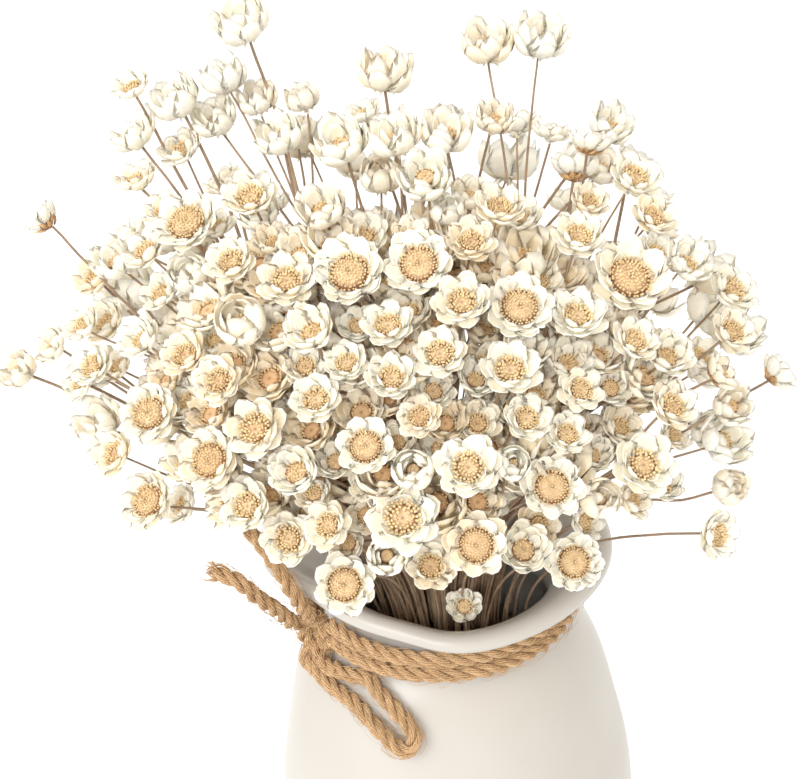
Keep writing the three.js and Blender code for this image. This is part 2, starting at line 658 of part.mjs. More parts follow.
function petalRing(skin, bloom, axes, [petals, tip, tipHeight, notch, notchHeight, turned]) {
  const step = TURN / (2 * petals);
  const phase = bloom.spin + turned * 2 * step;
  const points = [];
  for (let i = 0; i < 2 * petals; i += 1) {
    const [radius, height] = i % 2 === 0 ? [tip, tipHeight] : [notch, notchHeight];
    const angle = phase + i * step;
    points.push(bloom.place.clone()
      .addScaledVector(bloom.facing, height * bloom.width)
      .addScaledVector(axes[0], radius * bloom.width * Math.cos(angle))
      .addScaledVector(axes[1], radius * bloom.width * Math.sin(angle)));
  }
  return skin.ring(points, phase);
}

function plainRing(skin, bloom, axes, count, radius, height) {
  const centre = bloom.place.clone().addScaledVector(bloom.facing, height * bloom.width);
  return skin.ring(ringPoints(centre, axes, count, bloom.spin, radius * bloom.width), bloom.spin);
}

// A bloom and its stalk in one skin, from the stalk's root up to the middle of the disc. The stalk
// that ends a stem carries the stem below it in the same skin.
function bloomSolid(bloom, stem = []) {
  const skin = new RingSkin();
  const form = FORMS[bloom.form];
  const base = baseOf(bloom);
  const leaving = bloom.middle.clone().sub(bloom.fork).normalize();
  const ends = stem.length > 0;
  const side = ends ? vector(-bloom.fork.y, bloom.fork.x, 0).normalize() : sideOf(bloom.facing, leaving);
  const path = [...(ends ? stem : [bloom.fork]), bloom.middle, base, bloom.place];
  const rings = path.slice(0, -1).map((centre, i) => {
    const heading = path[i + 1].clone().sub(centre).normalize();
    if (i > 0) heading.add(centre.clone().sub(path[i - 1]).normalize()).normalize();
    const radius = i < stem.length ? STEM_RADIUS : STALK_RADIUS;
    return skin.ring(ringPoints(centre, squareTo(heading, side), 3, 0, radius), 0);
  });
  skin.cap(rings[0]);
  const axes = squareTo(bloom.facing, side);
  if (form.belly) rings.push(plainRing(skin, bloom, axes, ...form.belly));
  form.petals.forEach((row) => rings.push(petalRing(skin, bloom, axes, row)));
  if (form.disc) rings.push(plainRing(skin, bloom, axes, form.petals[0][0], ...form.disc));
  for (let i = 0; i + 1 < rings.length; i += 1) skin.stitch(rings[i], rings[i + 1]);
  const top = bloom.place.clone().addScaledVector(bloom.facing, form.centre * bloom.width);
  skin.close(rings[rings.length - 1], top);
  return skin.geometry();
}

function mouthSpray() {
  const line = sightLine(MOUTH_BLOOM.pixel);
  const place = VIEW.eye.clone().addScaledVector(line, (MOUTH_BLOOM.height - VIEW.eye.z) / line.z);
  const foot = place.clone().setZ(STEM_FOOT).add(MOUTH_STEM_LEAN);
  const facing = VIEW.eye.clone().sub(place).normalize().add(MOUTH_LOOKS_UP).normalize();
  const bloom = { ...MOUTH_BLOOM, place, facing, fork: foot };
  bloom.middle = baseOf(bloom).lerp(foot, 0.3).add(MOUTH_STEM_SAG);
  return fused([bloomSolid(bloom)]);
}

// Bouquet
function sprayName(i) {
  return `spray_${String(i + 1).padStart(2, "0")}`;
}

function bouquet() {
  const blooms = [...seenBlooms(), ...hiddenBlooms()];
  blooms.forEach(turnToFace);
  const sprays = gather(blooms);
  spaceOut(blooms, sprays);
  const meshes = sprays.map((spray, i) => {
    const solids = spray.blooms.map((bloom, k) => bloomSolid(bloom, k === 0 ? spray.stem : []));
    return piece(sprayName(i), fused(solids), DRIED);
  });
  meshes.push(piece("spray_mouth", mouthSpray(), DRIED));
  return meshes;
}

const group = new THREE.Group();
group.add(vase(), ...twine(), ...bouquet());
export default group;
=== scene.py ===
"""The looks of a bouquet of dried daisies in a glazed vase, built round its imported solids.

Lengths are in millimetres, as in the part's source, and become metres where a mesh is made.
"""

import json
import logging
import math
from dataclasses import dataclass, field
from enum import Enum
from typing import Sequence

import bpy
import numpy as np
from mathutils import Matrix, Vector

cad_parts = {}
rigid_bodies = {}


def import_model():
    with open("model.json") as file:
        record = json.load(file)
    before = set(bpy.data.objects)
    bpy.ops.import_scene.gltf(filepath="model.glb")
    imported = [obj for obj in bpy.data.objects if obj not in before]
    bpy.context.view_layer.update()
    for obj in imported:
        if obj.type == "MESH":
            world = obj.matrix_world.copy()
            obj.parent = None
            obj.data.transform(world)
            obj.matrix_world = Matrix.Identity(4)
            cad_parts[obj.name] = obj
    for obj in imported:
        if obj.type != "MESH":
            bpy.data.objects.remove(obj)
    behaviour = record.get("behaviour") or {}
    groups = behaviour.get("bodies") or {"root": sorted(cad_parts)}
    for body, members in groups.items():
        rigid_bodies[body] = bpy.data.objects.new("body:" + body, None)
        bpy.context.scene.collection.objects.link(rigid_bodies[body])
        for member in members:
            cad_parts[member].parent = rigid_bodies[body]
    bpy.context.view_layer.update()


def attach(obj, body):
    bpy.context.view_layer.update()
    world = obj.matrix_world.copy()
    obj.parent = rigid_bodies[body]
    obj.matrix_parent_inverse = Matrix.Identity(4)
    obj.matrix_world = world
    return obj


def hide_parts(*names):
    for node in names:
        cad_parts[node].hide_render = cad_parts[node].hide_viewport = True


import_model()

Array = np.ndarray
Pair = tuple[float, float]
Triple = tuple[float, float, float]
Colour = tuple[float, float, float, float]
Material = bpy.types.Material
Mesh = bpy.types.Mesh
Node = bpy.types.Node
NodeTree = bpy.types.NodeTree
Object = bpy.types.Object
Socket = bpy.types.NodeSocket

LOG = logging.getLogger("bouquet")
MM = 0.001
TURN = 2 * math.pi
GOLDEN_TURN = math.pi * (3 - math.sqrt(5))
UP = np.array([0.0, 0.0, 1.0])
CURVE_POINTS = 17
TINY = 1e-9

# The blooms that the photograph shows, by pixel: (across, down, width, layer, form)
SEEN = (
    (240, 20, 50, 0, "cup"), (232, 90, 42, 0, "cup"), (45, 222, 40, 0, "back"), (140, 95, 40, 0, "plain"),
    (175, 105, 45, 0, "cup"), (205, 110, 40, 1, "cup"), (135, 145, 50, 0, "deep"),
    (185, 140, 45, 1, "plain"), (140, 180, 45, 0, "plain"), (245, 95, 35, 1, "cup"),
    (180, 225, 65, 0, "wide"), (145, 205, 40, 1, "plain"), (145, 248, 45, 0, "plain"),
    (250, 195, 55, 0, "open"), (215, 225, 40, 1, "plain"), (115, 260, 40, 0, "cup"),
    (95, 270, 45, 1, "plain"), (270, 235, 40, 1, "deep"), (230, 260, 50, 0, "open"),
    (190, 270, 45, 1, "bud"), (260, 215, 35, 1, "cup"), (302, 98, 36, 0, "bud"), (278, 135, 42, 0, "cup"),
    (340, 142, 46, 0, "cup"), (385, 72, 48, 0, "cup"), (390, 137, 46, 0, "cup"), (446, 132, 46, 0, "cup"),
    (385, 175, 45, 1, "bud"), (428, 175, 46, 0, "cup"), (320, 208, 44, 0, "cup"), (468, 195, 32, 1, "cup"),
    (445, 210, 36, 1, "bud"), (365, 235, 50, 1, "plain"), (410, 235, 40, 1, "plain"),
    (487, 42, 46, 0, "cup"), (542, 38, 46, 0, "cup"), (494, 118, 34, 0, "cup"), (590, 140, 44, 0, "back"),
    (612, 125, 40, 1, "cup"), (575, 165, 48, 1, "back"), (600, 165, 36, 2, "cup"),
    (637, 175, 55, 0, "open"), (655, 215, 45, 0, "open"), (590, 200, 40, 1, "plain"),
    (500, 205, 50, 0, "open"), (520, 215, 45, 1, "plain"), (585, 240, 52, 0, "open"),
    (690, 260, 50, 0, "deep"), (658, 250, 40, 1, "plain"), (470, 240, 48, 0, "open"),
    (80, 325, 42, 0, "plain"), (105, 318, 45, 1, "plain"), (137, 338, 45, 0, "deep"),
    (160, 290, 42, 1, "plain"), (45, 350, 42, 0, "plain"), (25, 365, 36, 0, "cup"),
    (90, 365, 45, 0, "open"), (118, 365, 35, 1, "plain"), (185, 355, 48, 0, "open"),
    (215, 378, 48, 0, "open"), (150, 410, 60, 0, "wide"), (183, 402, 45, 1, "plain"),
    (95, 415, 45, 1, "cup"), (112, 453, 48, 0, "open"), (240, 320, 55, 0, "bud"),
    (215, 340, 40, 1, "plain"), (80, 388, 40, 1, "plain"), (150, 375, 36, 2, "plain"),
    (265, 395, 45, 2, "plain"), (307, 282, 58, 0, "open"), (362, 275, 70, 0, "wide"),
    (408, 283, 66, 0, "wide"), (310, 325, 52, 0, "deep"), (358, 325, 40, 1, "plain"),
    (390, 325, 52, 0, "open"), (455, 305, 55, 0, "open"), (270, 360, 42, 2, "deep"),
    (305, 365, 44, 1, "plain"), (352, 370, 44, 0, "open"), (385, 375, 50, 0, "open"),
    (322, 392, 50, 0, "open"), (413, 408, 44, 0, "open"), (445, 340, 52, 0, "open"),
    (440, 383, 42, 1, "deep"), (472, 380, 42, 1, "deep"), (262, 437, 60, 0, "open"),
    (290, 415, 38, 2, "deep"), (315, 435, 38, 2, "deep"), (375, 450, 58, 0, "wide"),
    (335, 460, 40, 1, "deep"), (405, 440, 40, 1, "deep"), (437, 440, 42, 1, "deep"),
    (470, 425, 46, 1, "plain"), (340, 430, 40, 2, "plain"), (212, 465, 62, 0, "wide"),
    (287, 302, 30, 1, "back"), (510, 315, 66, 0, "wide"), (622, 280, 76, 0, "wide"),
    (565, 315, 56, 0, "open"), (513, 365, 58, 0, "open"), (568, 355, 50, 1, "deep"),
    (540, 280, 44, 1, "plain"), (600, 310, 40, 1, "plain"), (640, 335, 48, 0, "open"),
    (665, 355, 48, 0, "deep"), (610, 350, 38, 2, "deep"), (580, 393, 44, 0, "open"),
    (612, 385, 42, 1, "deep"), (527, 410, 48, 0, "open"), (567, 428, 44, 0, "open"),
    (668, 400, 50, 0, "open"), (625, 430, 44, 1, "plain"), (500, 430, 40, 2, "deep"),
    (675, 435, 36, 1, "plain"), (465, 465, 62, 0, "open"), (505, 465, 38, 0, "bud"),
    (640, 465, 62, 0, "open"), (575, 455, 36, 2, "deep"), (600, 450, 38, 1, "deep"),
    (550, 485, 62, 0, "wide"), (735, 295, 50, 0, "open"), (733, 330, 45, 0, "open"),
    (780, 372, 42, 0, "back"), (700, 355, 40, 1, "plain"), (725, 365, 42, 0, "back"),
    (733, 405, 36, 0, "cup"), (725, 440, 46, 0, "cup"), (730, 487, 40, 0, "bud"), (720, 535, 48, 0, "open"),
    (705, 430, 34, 1, "cup"), (145, 500, 58, 0, "wide"), (180, 505, 42, 1, "plain"),
    (245, 503, 54, 0, "open"), (285, 463, 52, 0, "deep"), (285, 535, 54, 0, "open"),
    (315, 490, 40, 1, "plain"), (325, 525, 48, 0, "open"), (345, 580, 60, 0, "wide"),
    (350, 545, 40, 1, "deep"), (365, 515, 42, 1, "deep"), (370, 485, 40, 1, "plain"),
    (403, 510, 70, 0, "open"), (415, 472, 44, 0, "bud"), (437, 520, 40, 1, "plain"),
    (395, 555, 44, 0, "bud"), (432, 560, 50, 0, "open"), (472, 548, 62, 0, "wide"),
    (520, 548, 52, 0, "deep"), (568, 560, 56, 0, "wide"), (500, 505, 40, 2, "plain"),
    (605, 495, 44, 0, "bud"), (655, 490, 40, 1, "plain"), (635, 500, 40, 1, "plain"),
    (540, 525, 44, 1, "plain"), (590, 520, 40, 1, "plain"),
)


# Small helpers

def unit(vector: Array) -> Array:
    """Returns the vector at length one."""
    return vector / np.linalg.norm(vector)


def turned(vector: Array, axis: Array, angle: float) -> Array:
    """Returns the vector turned about an axis by the right-hand rule."""
    level = vector * math.cos(angle) + np.cross(axis, vector) * math.sin(angle)
    return level + axis * axis.dot(vector) * (1 - math.cos(angle))


def direction_of(angle: float, turn: float) -> Array:
    """Returns the direction that leans by angle from upright, towards turn."""
    return np.array([math.sin(angle) * math.cos(turn), math.sin(angle) * math.sin(turn), math.cos(angle)])


def square_to(ahead: Array, side: Array) -> tuple[Array, Array]:
    """Returns two directions square to ahead, the first kept near side."""
    first = unit(side - ahead * side.dot(ahead))
    return first, np.cross(ahead, first)


def smoothstep(value: Array, low: float, high: float) -> Array:
    """Returns a smooth rise from 0 at low to 1 at high."""
    share = np.clip((value - low) / (high - low), 0, 1)
    return share * share * (3 - 2 * share)


def bezier(points: Sequence[Sequence[float]], share: Array) -> Array:
    """Returns the points of a quadratic curve at each share of its length."""
    (start, middle, end), s = np.array(points, float), share[..., None]
    return start * (1 - s) ** 2 + middle * 2 * s * (1 - s) + end * s**2


def smooth_path(points: Sequence[Sequence[float]], step: float) -> Array:
    """Runs a centripetal curve through the points.

    Args:
        points: the route's points.
        step: the distance between the points given back.

    Returns:
        Points along the curve, evenly spaced.
    """
    p = np.array(points, float)
    p = np.vstack([2 * p[0] - p[1], p, 2 * p[-1] - p[-2]])
    dense = [p[1]]
    for a, b, c, d in zip(p[:-3], p[1:-2], p[2:-1], p[3:]):
        knots = np.cumsum([0, *[math.sqrt(np.linalg.norm(y - x)) for x, y in ((a, b), (b, c), (c, d))]])
        for t in np.linspace(knots[1], knots[2], CURVE_POINTS)[1:]:
            level = [a, b, c, d]
            for lows, highs in (((0, 1, 2), (1, 2, 3)), ((0, 1), (2, 3)), ((1,), (2,))):
                spans = zip(knots[list(lows)], knots[list(highs)], level, level[1:])
                level = [((high - t) * x + (t - low) * y) / (high - low) for low, high, x, y in spans]
            dense.append(level[0])
    return even_path(np.array(dense), step)


def even_path(dense: Array, step: float) -> Array:
    """Returns a path's points again, evenly spaced by about step.

    Args:
        dense: the path's points.
        step: the distance wanted.

    Returns:
        The new points.
    """
    along = np.concatenate([[0], np.cumsum(np.linalg.norm(np.diff(dense, axis=0), axis=1))])
    places = np.linspace(0, along[-1], max(2, int(round(along[-1] / step)) + 1))
    return np.stack([np.interp(places, along, dense[:, i]) for i in range(3)], axis=1)


def path_length(path: Array) -> float:
    """Returns the length of a path."""
    return float(np.linalg.norm(np.diff(path, axis=0), axis=1).sum())


# Where the blooms and stems stand

class Form(Enum):
    """The ways in which a bloom is seen to have dried."""

    OPEN = "open"
    WIDE = "wide"
    PLAIN = "plain"
    DEEP = "deep"
    CUP = "cup"
    BUD = "bud"
    BACK = "back"


class Draws:
    """A seeded run of random draws, the same as the part's source makes."""

    FACTOR = 1664525
    STEP = 1013904223
    SPAN = 2**32

    def __init__(self, seed: int) -> None:
        """Starts the run at a seed."""
        self.state = seed

    def draw(self) -> float:
        """Returns the next draw, from 0 to 1."""
        self.state = (self.state * self.FACTOR + self.STEP) % self.SPAN
        return self.state / self.SPAN

    def between(self, low: float, high: float) -> float:
        """Returns the next draw, from low to high."""
        return low + (high - low) * self.draw()


@dataclass
class Viewpoint:
    """The photograph's viewpoint, set by the middle of the vase's rim."""

    rim_height: float = 185.0
    distance: float = 610.0
    elevation: float = math.radians(36.5)
    roll: float = math.radians(-4.0)
    focal_pixels: float = 1880.0
    photo_width: int = 800
    middle_pixel: Pair = (400.0, 389.5)
    rim_pixel: Pair = (441.0, 541.0)
    sensor: float = 36.0
    nearest: float = 0.01

    def __post_init__(self) -> None:
        """Works out the eye's place and the view's right, up and ahead."""
        back = np.array([0.0, -math.cos(self.elevation), math.sin(self.elevation)])
        self.eye = UP * self.rim_height + back * self.distance
        ahead = -back
        level = unit(np.cross(ahead, UP))
        right = turned(level, ahead, -self.roll)
        up = turned(np.cross(level, ahead), ahead, -self.roll)
        seen = self.local_direction(self.rim_pixel)
        axis = unit(np.cross(UP, seen))
        swing = np.array([turned(row, axis, math.acos(seen[2])) for row in np.eye(3)]).T
        self.rows = swing @ np.array([right, up, ahead])

    def local_direction(self, pixel: Sequence[float]) -> Array:
        """Returns a pixel's direction as right, up and ahead of the view."""
        across = pixel[0] - self.middle_pixel[0]
        return unit(np.array([across, self.middle_pixel[1] - pixel[1], self.focal_pixels]))

    def sight_line(self, pixel: Sequence[float]) -> Array:
        """Returns the direction in which a pixel is seen."""
        return unit(self.rows.T @ self.local_direction(pixel))

    def pixel_of(self, place: Array) -> Array:
        """Returns the pixel at which a place is seen."""
        right, up, ahead = self.rows @ (place - self.eye)
        return self.middle_pixel + np.array([right, -up]) / ahead * self.focal_pixels

    def camera(self) -> Object:
        """Makes the camera at the eye and sets it as the scene's.

        Returns:
            The camera.
        """
        data = bpy.data.cameras.new("Camera")
        data.sensor_width = self.sensor
        data.lens = self.focal_pixels / self.photo_width * self.sensor
        data.clip_start = self.nearest
        camera = bpy.data.objects.new("Camera", data)
        bpy.context.scene.collection.objects.link(camera)
        right, up, ahead = self.rows
        turn = Matrix((right, up, -ahead)).transposed().to_4x4()
        camera.matrix_world = Matrix.Translation(Vector(self.eye * MM)) @ turn
        bpy.context.scene.camera = camera
        return camera


@dataclass
class Bloom:
    """One flower head and the stalk that carries it."""

    place: Array
    width: float
    form: Form
    line: Array | None
    along: Array
    run: float
    facing: Array = field(default_factory=lambda: UP.copy())
    spin: float = 0.0
    fork: Array = field(default_factory=lambda: np.zeros(3))
    leaves: Array = field(default_factory=lambda: UP.copy())
    middle: Array = field(default_factory=lambda: np.zeros(3))

    BASE_DEPTH = 0.3

    @property
    def base(self) -> Array:
        """The place where the stalk meets the head."""
        return self.place - self.facing * self.BASE_DEPTH * self.width


@dataclass
class Spray:
    """The blooms that share one stem, that stem's points, and the small blooms deep among them."""

    blooms: list[Bloom]
    stem: Array
    deep_blooms: list[Bloom] = field(default_factory=list)


@dataclass
class StemRule:
    """How a stem stands in the vase and bends out of it."""

    foot: float = 7.0
    foot_spread: float = 1.05
    waist: float = 150.0
    waist_radius: float = 29.0
    bend_length: float = 75.0
    bend_step: float = math.radians(30)
    steepest: float = math.radians(88)
    stalk_length: float = 38.0
    shortest_run: float = 4.0
    fork_step: float = 3.5
    root_aside: float = 0.6
    least_lean: float = 0.001
    lean_rounds: int = 40

    def bend_point(self, angle: float, part: float) -> Array:
        """Returns radius and height along a stem's bend, after part of its angle."""
        start = np.array([self.waist_radius * angle / self.steepest, self.waist])
        return start + self.bend_length / angle * np.array([1 - math.cos(part), math.sin(part)])

    def angle_through(self, place: Array) -> float:
        """Returns the lean of the stem that passes through a place.

        Args:
            place: the place.

        Returns:
            The angle from upright.
        """
        radius = math.hypot(place[0], place[1])
        low, high = self.least_lean, self.steepest
        for _ in range(self.lean_rounds):
            angle = (low + high) / 2
            bend = self.bend_point(angle, angle)
            side = (radius - bend[0]) * math.cos(angle) - (place[2] - bend[1]) * math.sin(angle)
            low, high = (angle, high) if side > 0 else (low, angle)
        return (low + high) / 2

    def stem(self, along: Array, usual_run: float) -> Array:
        """Returns the points of a stem that ends up leaning along a direction.

        Args:
            along: the direction of its end.
            usual_run: how far its blooms stand above the bend.

        Returns:
            The points, from the foot up.
        """
        angle = math.acos(along[2])
        turn = math.atan2(along[1], along[0])
        outline = [(self.bend_point(angle, 0)[0] * self.foot_spread, self.foot)]
        bends = math.ceil(angle / self.bend_step)
        outline += [self.bend_point(angle, angle * i / bends) for i in range(bends + 1)]
        run = max(self.shortest_run, usual_run - self.stalk_length)
        outline.append(outline[-1] + run * np.array([math.sin(angle), math.cos(angle)]))
        return np.array([(r * math.cos(turn), r * math.sin(turn), height) for r, height in outline])


def point_below(stem: Array, distance: float) -> tuple[Array, Array]:
    """Returns the place and direction of a stem a distance below its upper end.

    Args:
        stem: its points, from the foot up.
        distance: how far below its end.

    Returns:
        The place and the direction there.
    """
    i = len(stem) - 1
    while distance > np.linalg.norm(stem[i] - stem[i - 1]):
        distance -= np.linalg.norm(stem[i] - stem[i - 1])
        i -= 1
    ahead = unit(stem[i] - stem[i - 1])
    return stem[i] - ahead * distance, ahead


@dataclass
class Layout:
    """Places every bloom and stem by the same rules as the part's source."""

    view: Viewpoint
    rule: StemRule = field(default_factory=StemRule)
    crown_centre: Triple = (-4.0, 10.0, 253.0)
    crown_radii: Triple = (105.0, 82.0, 77.0)
    layer_depth: float = 0.14
    sprays: int = 50
    gather_rounds: int = 6
    # In a spray of two, both blooms are equally in line with the stem. In these the later one ends it.
    later_leads: tuple[int, ...] = (15, 31, 34, 36)
    tie_digits: int = 9
    spiral_places: int = 92
    spiral_reach: float = 1.25
    hidden_from: float = -0.15
    hidden_lowest: float = 209.0
    hidden_depth: Pair = (0.84, 1.0)
    hidden_width: Pair = (11.5, 17.0)
    hidden_forms: tuple[str, ...] = ("plain", "cup", "plain", "bud", "plain", "deep", "plain")
    seed: int = 41
    sway_sideways: Pair = (-0.22, 0.22)
    sway_up: Pair = (-0.1, 0.25)
    stalk_swing: float = 0.06
    spacing_rounds: int = 40
    head_share: float = 0.5
    head_room: float = 0.7
    stalk_room: float = 1.3
    stem_room: float = 1.8
    stem_sample: float = 3.0
    head_give: float = 0.35
    head_give_to_stalk: float = 0.18
    head_give_to_stem: float = 0.5
    stalk_places: tuple[float, ...] = (0.2, 0.4, 0.6, 0.8, 1.0)
    stalk_give: tuple[float, ...] = (0.3, 0.5, 0.5, 0.4, 0.2)
    head_follows: tuple[float, ...] = (0.0, 0.0, 0.05, 0.15, 0.3)
    middle_follows: float = 0.5
    middle_settles: float = 0.03
    deep_places: int = 1100
    deep_reach: float = 1.3
    deep_depth: Pair = (0.62, 0.93)
    deep_width: Pair = (12.5, 17.5)
    deep_forms: tuple[str, ...] = ("plain", "deep", "cup", "open", "plain", "deep")
    deep_room: float = 0.32
    deep_lowest: float = 205.0
    deep_turn: float = 1.0
    deep_middle_pixel: Pair = (405.0, 385.0)
    deep_spread_pixels: Pair = (250.0, 170.0)
    deep_seed: int = 5
    faces: dict[Form, float] = field(default_factory=lambda: {
        Form.OPEN: 0.45, Form.WIDE: 0.85, Form.PLAIN: 0.4, Form.DEEP: 0.4,
        Form.CUP: 0.0, Form.BUD: 0.1, Form.BACK: -0.45,
    })

    def make(self) -> list[Spray]:
        """Returns the sprays with their blooms in place.

        Returns:
            The sprays, in the order of their solids.
        """
        draws = Draws(self.seed)
        blooms = self.seen_blooms() + self.hidden_blooms(draws)
        for bloom in blooms:
            self.turn_to_face(bloom, draws)
        sprays = self.gather(blooms)
        self.space_out(blooms, sprays)
        self.add_deep_blooms(sprays, blooms)
        return sprays

    def add_deep_blooms(self, sprays: list[Spray], blooms: list[Bloom]) -> None:
        """Adds small blooms below the crown's surface, wherever the others leave room.

        Args:
            sprays: the sprays that the new blooms join.
            blooms: the others.
        """
        draws = Draws(self.deep_seed)
        taken = [(bloom.place, bloom.width) for bloom in blooms]
        axes = np.array([unit(np.sum([bloom.along for bloom in spray.blooms], axis=0)) for spray in sprays])
        for i in range(self.deep_places):
            height = 1 - (i + 0.5) / self.deep_places * self.deep_reach
            outward = direction_of(math.acos(height), i * GOLDEN_TURN + self.deep_turn)
            place = outward * self.crown_radii * draws.between(*self.deep_depth) + self.crown_centre
            width = draws.between(*self.deep_width)
            form = self.deep_forms[int(draws.draw() * len(self.deep_forms))]
            bloom = self.bloom_at(place, width, form, None)
            self.turn_to_face(bloom, draws)
            rooms = [np.linalg.norm(place - at) - self.deep_room * (width + other) for at, other in taken]
            aside = (self.view.pixel_of(place) - self.deep_middle_pixel) / self.deep_spread_pixels
            if min(rooms) > 0 and place[2] > self.deep_lowest and aside.dot(aside) < 1:
                taken.append((place, width))
                sprays[int(np.argmax(axes @ bloom.along))].deep_blooms.append(bloom)

    def bloom_at(self, place: Array, width: float, form: str, line: Array | None) -> Bloom:
        """Returns a bloom at a place, with the stem direction that leads there.

        Args:
            place: the head's middle.
            width: its width.
            form: how it has dried.
            line: the line of sight to it, where it is seen.

        Returns:
            The bloom.
        """
        angle = self.rule.angle_through(place)
        along = direction_of(angle, math.atan2(place[1], place[0]))
        bend = self.rule.bend_point(angle, angle)
        run = math.hypot(math.hypot(place[0], place[1]) - bend[0], place[2] - bend[1])
        return Bloom(place, width, Form(form), line, along, run)

    def on_crown(self, line: Array, layer: int) -> Array:
        """Returns where a line of sight meets the dome, or comes nearest to it.

        Args:
            line: the line of sight.
            layer: how many layers below the surface.

        Returns:
            The place.
        """
        radii = np.array(self.crown_radii) * (1 - self.layer_depth * layer)
        start = (self.view.eye - self.crown_centre) / radii
        step = line / radii
        a, b = step.dot(step), start.dot(step)
        inside = b * b - a * (start.dot(start) - 1)
        reach = (-b - math.sqrt(inside)) / a if inside > 0 else -b / a
        return self.view.eye + line * reach

    def seen_blooms(self) -> list[Bloom]:
        """Returns the blooms that the photograph shows.

        Returns:
            The blooms, in the order of SEEN.
        """
        blooms = []
        middle = self.view.sight_line(self.view.middle_pixel)
        for across, down, pixels, layer, form in SEEN:
            line = self.view.sight_line((across, down))
            place = self.on_crown(line, layer)
            depth = (place - self.view.eye).dot(middle)
            blooms.append(self.bloom_at(place, pixels * depth / self.view.focal_pixels, form, line))
        return blooms

    def hidden_blooms(self, draws: Draws) -> list[Bloom]:
        """Returns the far side's blooms, on a spiral over the dome.

        Args:
            draws: the run of random draws.

        Returns:
            The blooms.
        """
        blooms = []
        radii = np.array(self.crown_radii)
        for i in range(self.spiral_places):
            height = 1 - (i + 0.5) / self.spiral_places * self.spiral_reach
            outward = direction_of(math.acos(height), i * GOLDEN_TURN)
            place = outward * radii * draws.between(*self.hidden_depth) + self.crown_centre
            width = draws.between(*self.hidden_width)
            form = self.hidden_forms[math.floor(draws.draw() * len(self.hidden_forms))]
            away = unit(outward / radii).dot(unit(place - self.view.eye))
            if away > self.hidden_from and place[2] > self.hidden_lowest:
                blooms.append(self.bloom_at(place, width, form, None))
        return blooms

    def turn_to_face(self, bloom: Bloom, draws: Draws) -> None:
        """Turns a bloom from its stem's direction, partly towards the viewer.

        Args:
            bloom: the bloom.
            draws: the run of random draws.
        """
        to_viewer = unit(self.view.eye - bloom.place)
        share = 0.0 if bloom.line is None else self.faces[bloom.form]
        ranges = (self.sway_sideways, self.sway_sideways, self.sway_up)
        sway = np.array([draws.between(*limits) for limits in ranges])
        bloom.facing = unit(bloom.along + to_viewer * share + sway)
        bloom.spin = draws.draw() * TURN

    def gather(self, blooms: list[Bloom]) -> list[Spray]:
        """Groups blooms whose stems lie close together.

        Args:
            blooms: all blooms.

        Returns:
            A spray for each group.
        """
        alongs = np.array([bloom.along for bloom in blooms])
        axes = [alongs[0]]
        while len(axes) < self.sprays:
            closest = (alongs @ np.array(axes).T).max(axis=1)
            axes.append(alongs[int(np.argmin(closest))])
        groups = np.zeros(len(blooms), int)
        for _ in range(self.gather_rounds):
            groups = (alongs @ np.array(axes).T).argmax(axis=1)
            for i in set(groups):
                axes[i] = unit(alongs[groups == i].sum(axis=0))
        members = [[bloom for bloom, g in zip(blooms, groups) if g == i] for i in range(self.sprays)]
        members = [group for group in members if group]
        for number in self.later_leads:
            members[number - 1].reverse()
        return [self.spray_of(group) for group in members]

    def spray_of(self, blooms: list[Bloom]) -> Spray:
        """Returns a spray whose blooms leave one stem, one below another.

        Args:
            blooms: the blooms of one group.

        Returns:
            The spray.
        """
        along = unit(np.sum([bloom.along for bloom in blooms], axis=0))
        stem = self.rule.stem(along, sum(bloom.run for bloom in blooms) / len(blooms))
        blooms = sorted(blooms, key=lambda bloom: -round(bloom.along.dot(along), self.tie_digits))
        for i, bloom in enumerate(blooms):
            bloom.fork, bloom.leaves = point_below(stem, i * self.rule.fork_step)
            aside = bloom.base - bloom.fork
            if i > 0:
                aside = unit(aside - bloom.leaves * aside.dot(bloom.leaves))
                bloom.fork = bloom.fork + aside * self.rule.root_aside
            bloom.middle = self.resting_middles(bloom.base, bloom.fork, bloom.leaves, bloom.facing)
        return Spray(blooms, stem)

    def resting_middles(self, base: Array, fork: Array, leaves: Array, facing: Array) -> Array:
        """Returns the middle of each stalk that leaves along the stem and ends along its facing."""
        length = np.linalg.norm(base - fork, axis=-1, keepdims=True)
        return (base + fork) / 2 + length * self.stalk_swing * (leaves - facing)

    @staticmethod
    def pushes(start: Array, end: Array, room: Array) -> Array:
        """Returns the push that keeps each start that much room from each end.

        Args:
            start: the points that are pushed.
            end: the points that push.
            room: the distance to keep, for each pair.

        Returns:
            The push, for each pair.
        """
        push = start[:, None, :] - end[None, :, :]
        distance = np.linalg.norm(push, axis=2) + TINY
        return push * (np.maximum(0, room - distance) / distance)[..., None]

    def stem_samples(self, sprays: list[Spray]) -> Array:
        """Returns points along every stem, for heads to keep clear of.

        Args:
            sprays: the sprays.

        Returns:
            The points.
        """
        samples = []
        for spray in sprays:
            for a, b in zip(spray.stem[1:-1], spray.stem[2:]):
                steps = max(1, math.floor(np.linalg.norm(b - a) / self.stem_sample))
                samples += [a + (b - a) * j / steps for j in range(1, steps + 1)]
        return np.array(samples)

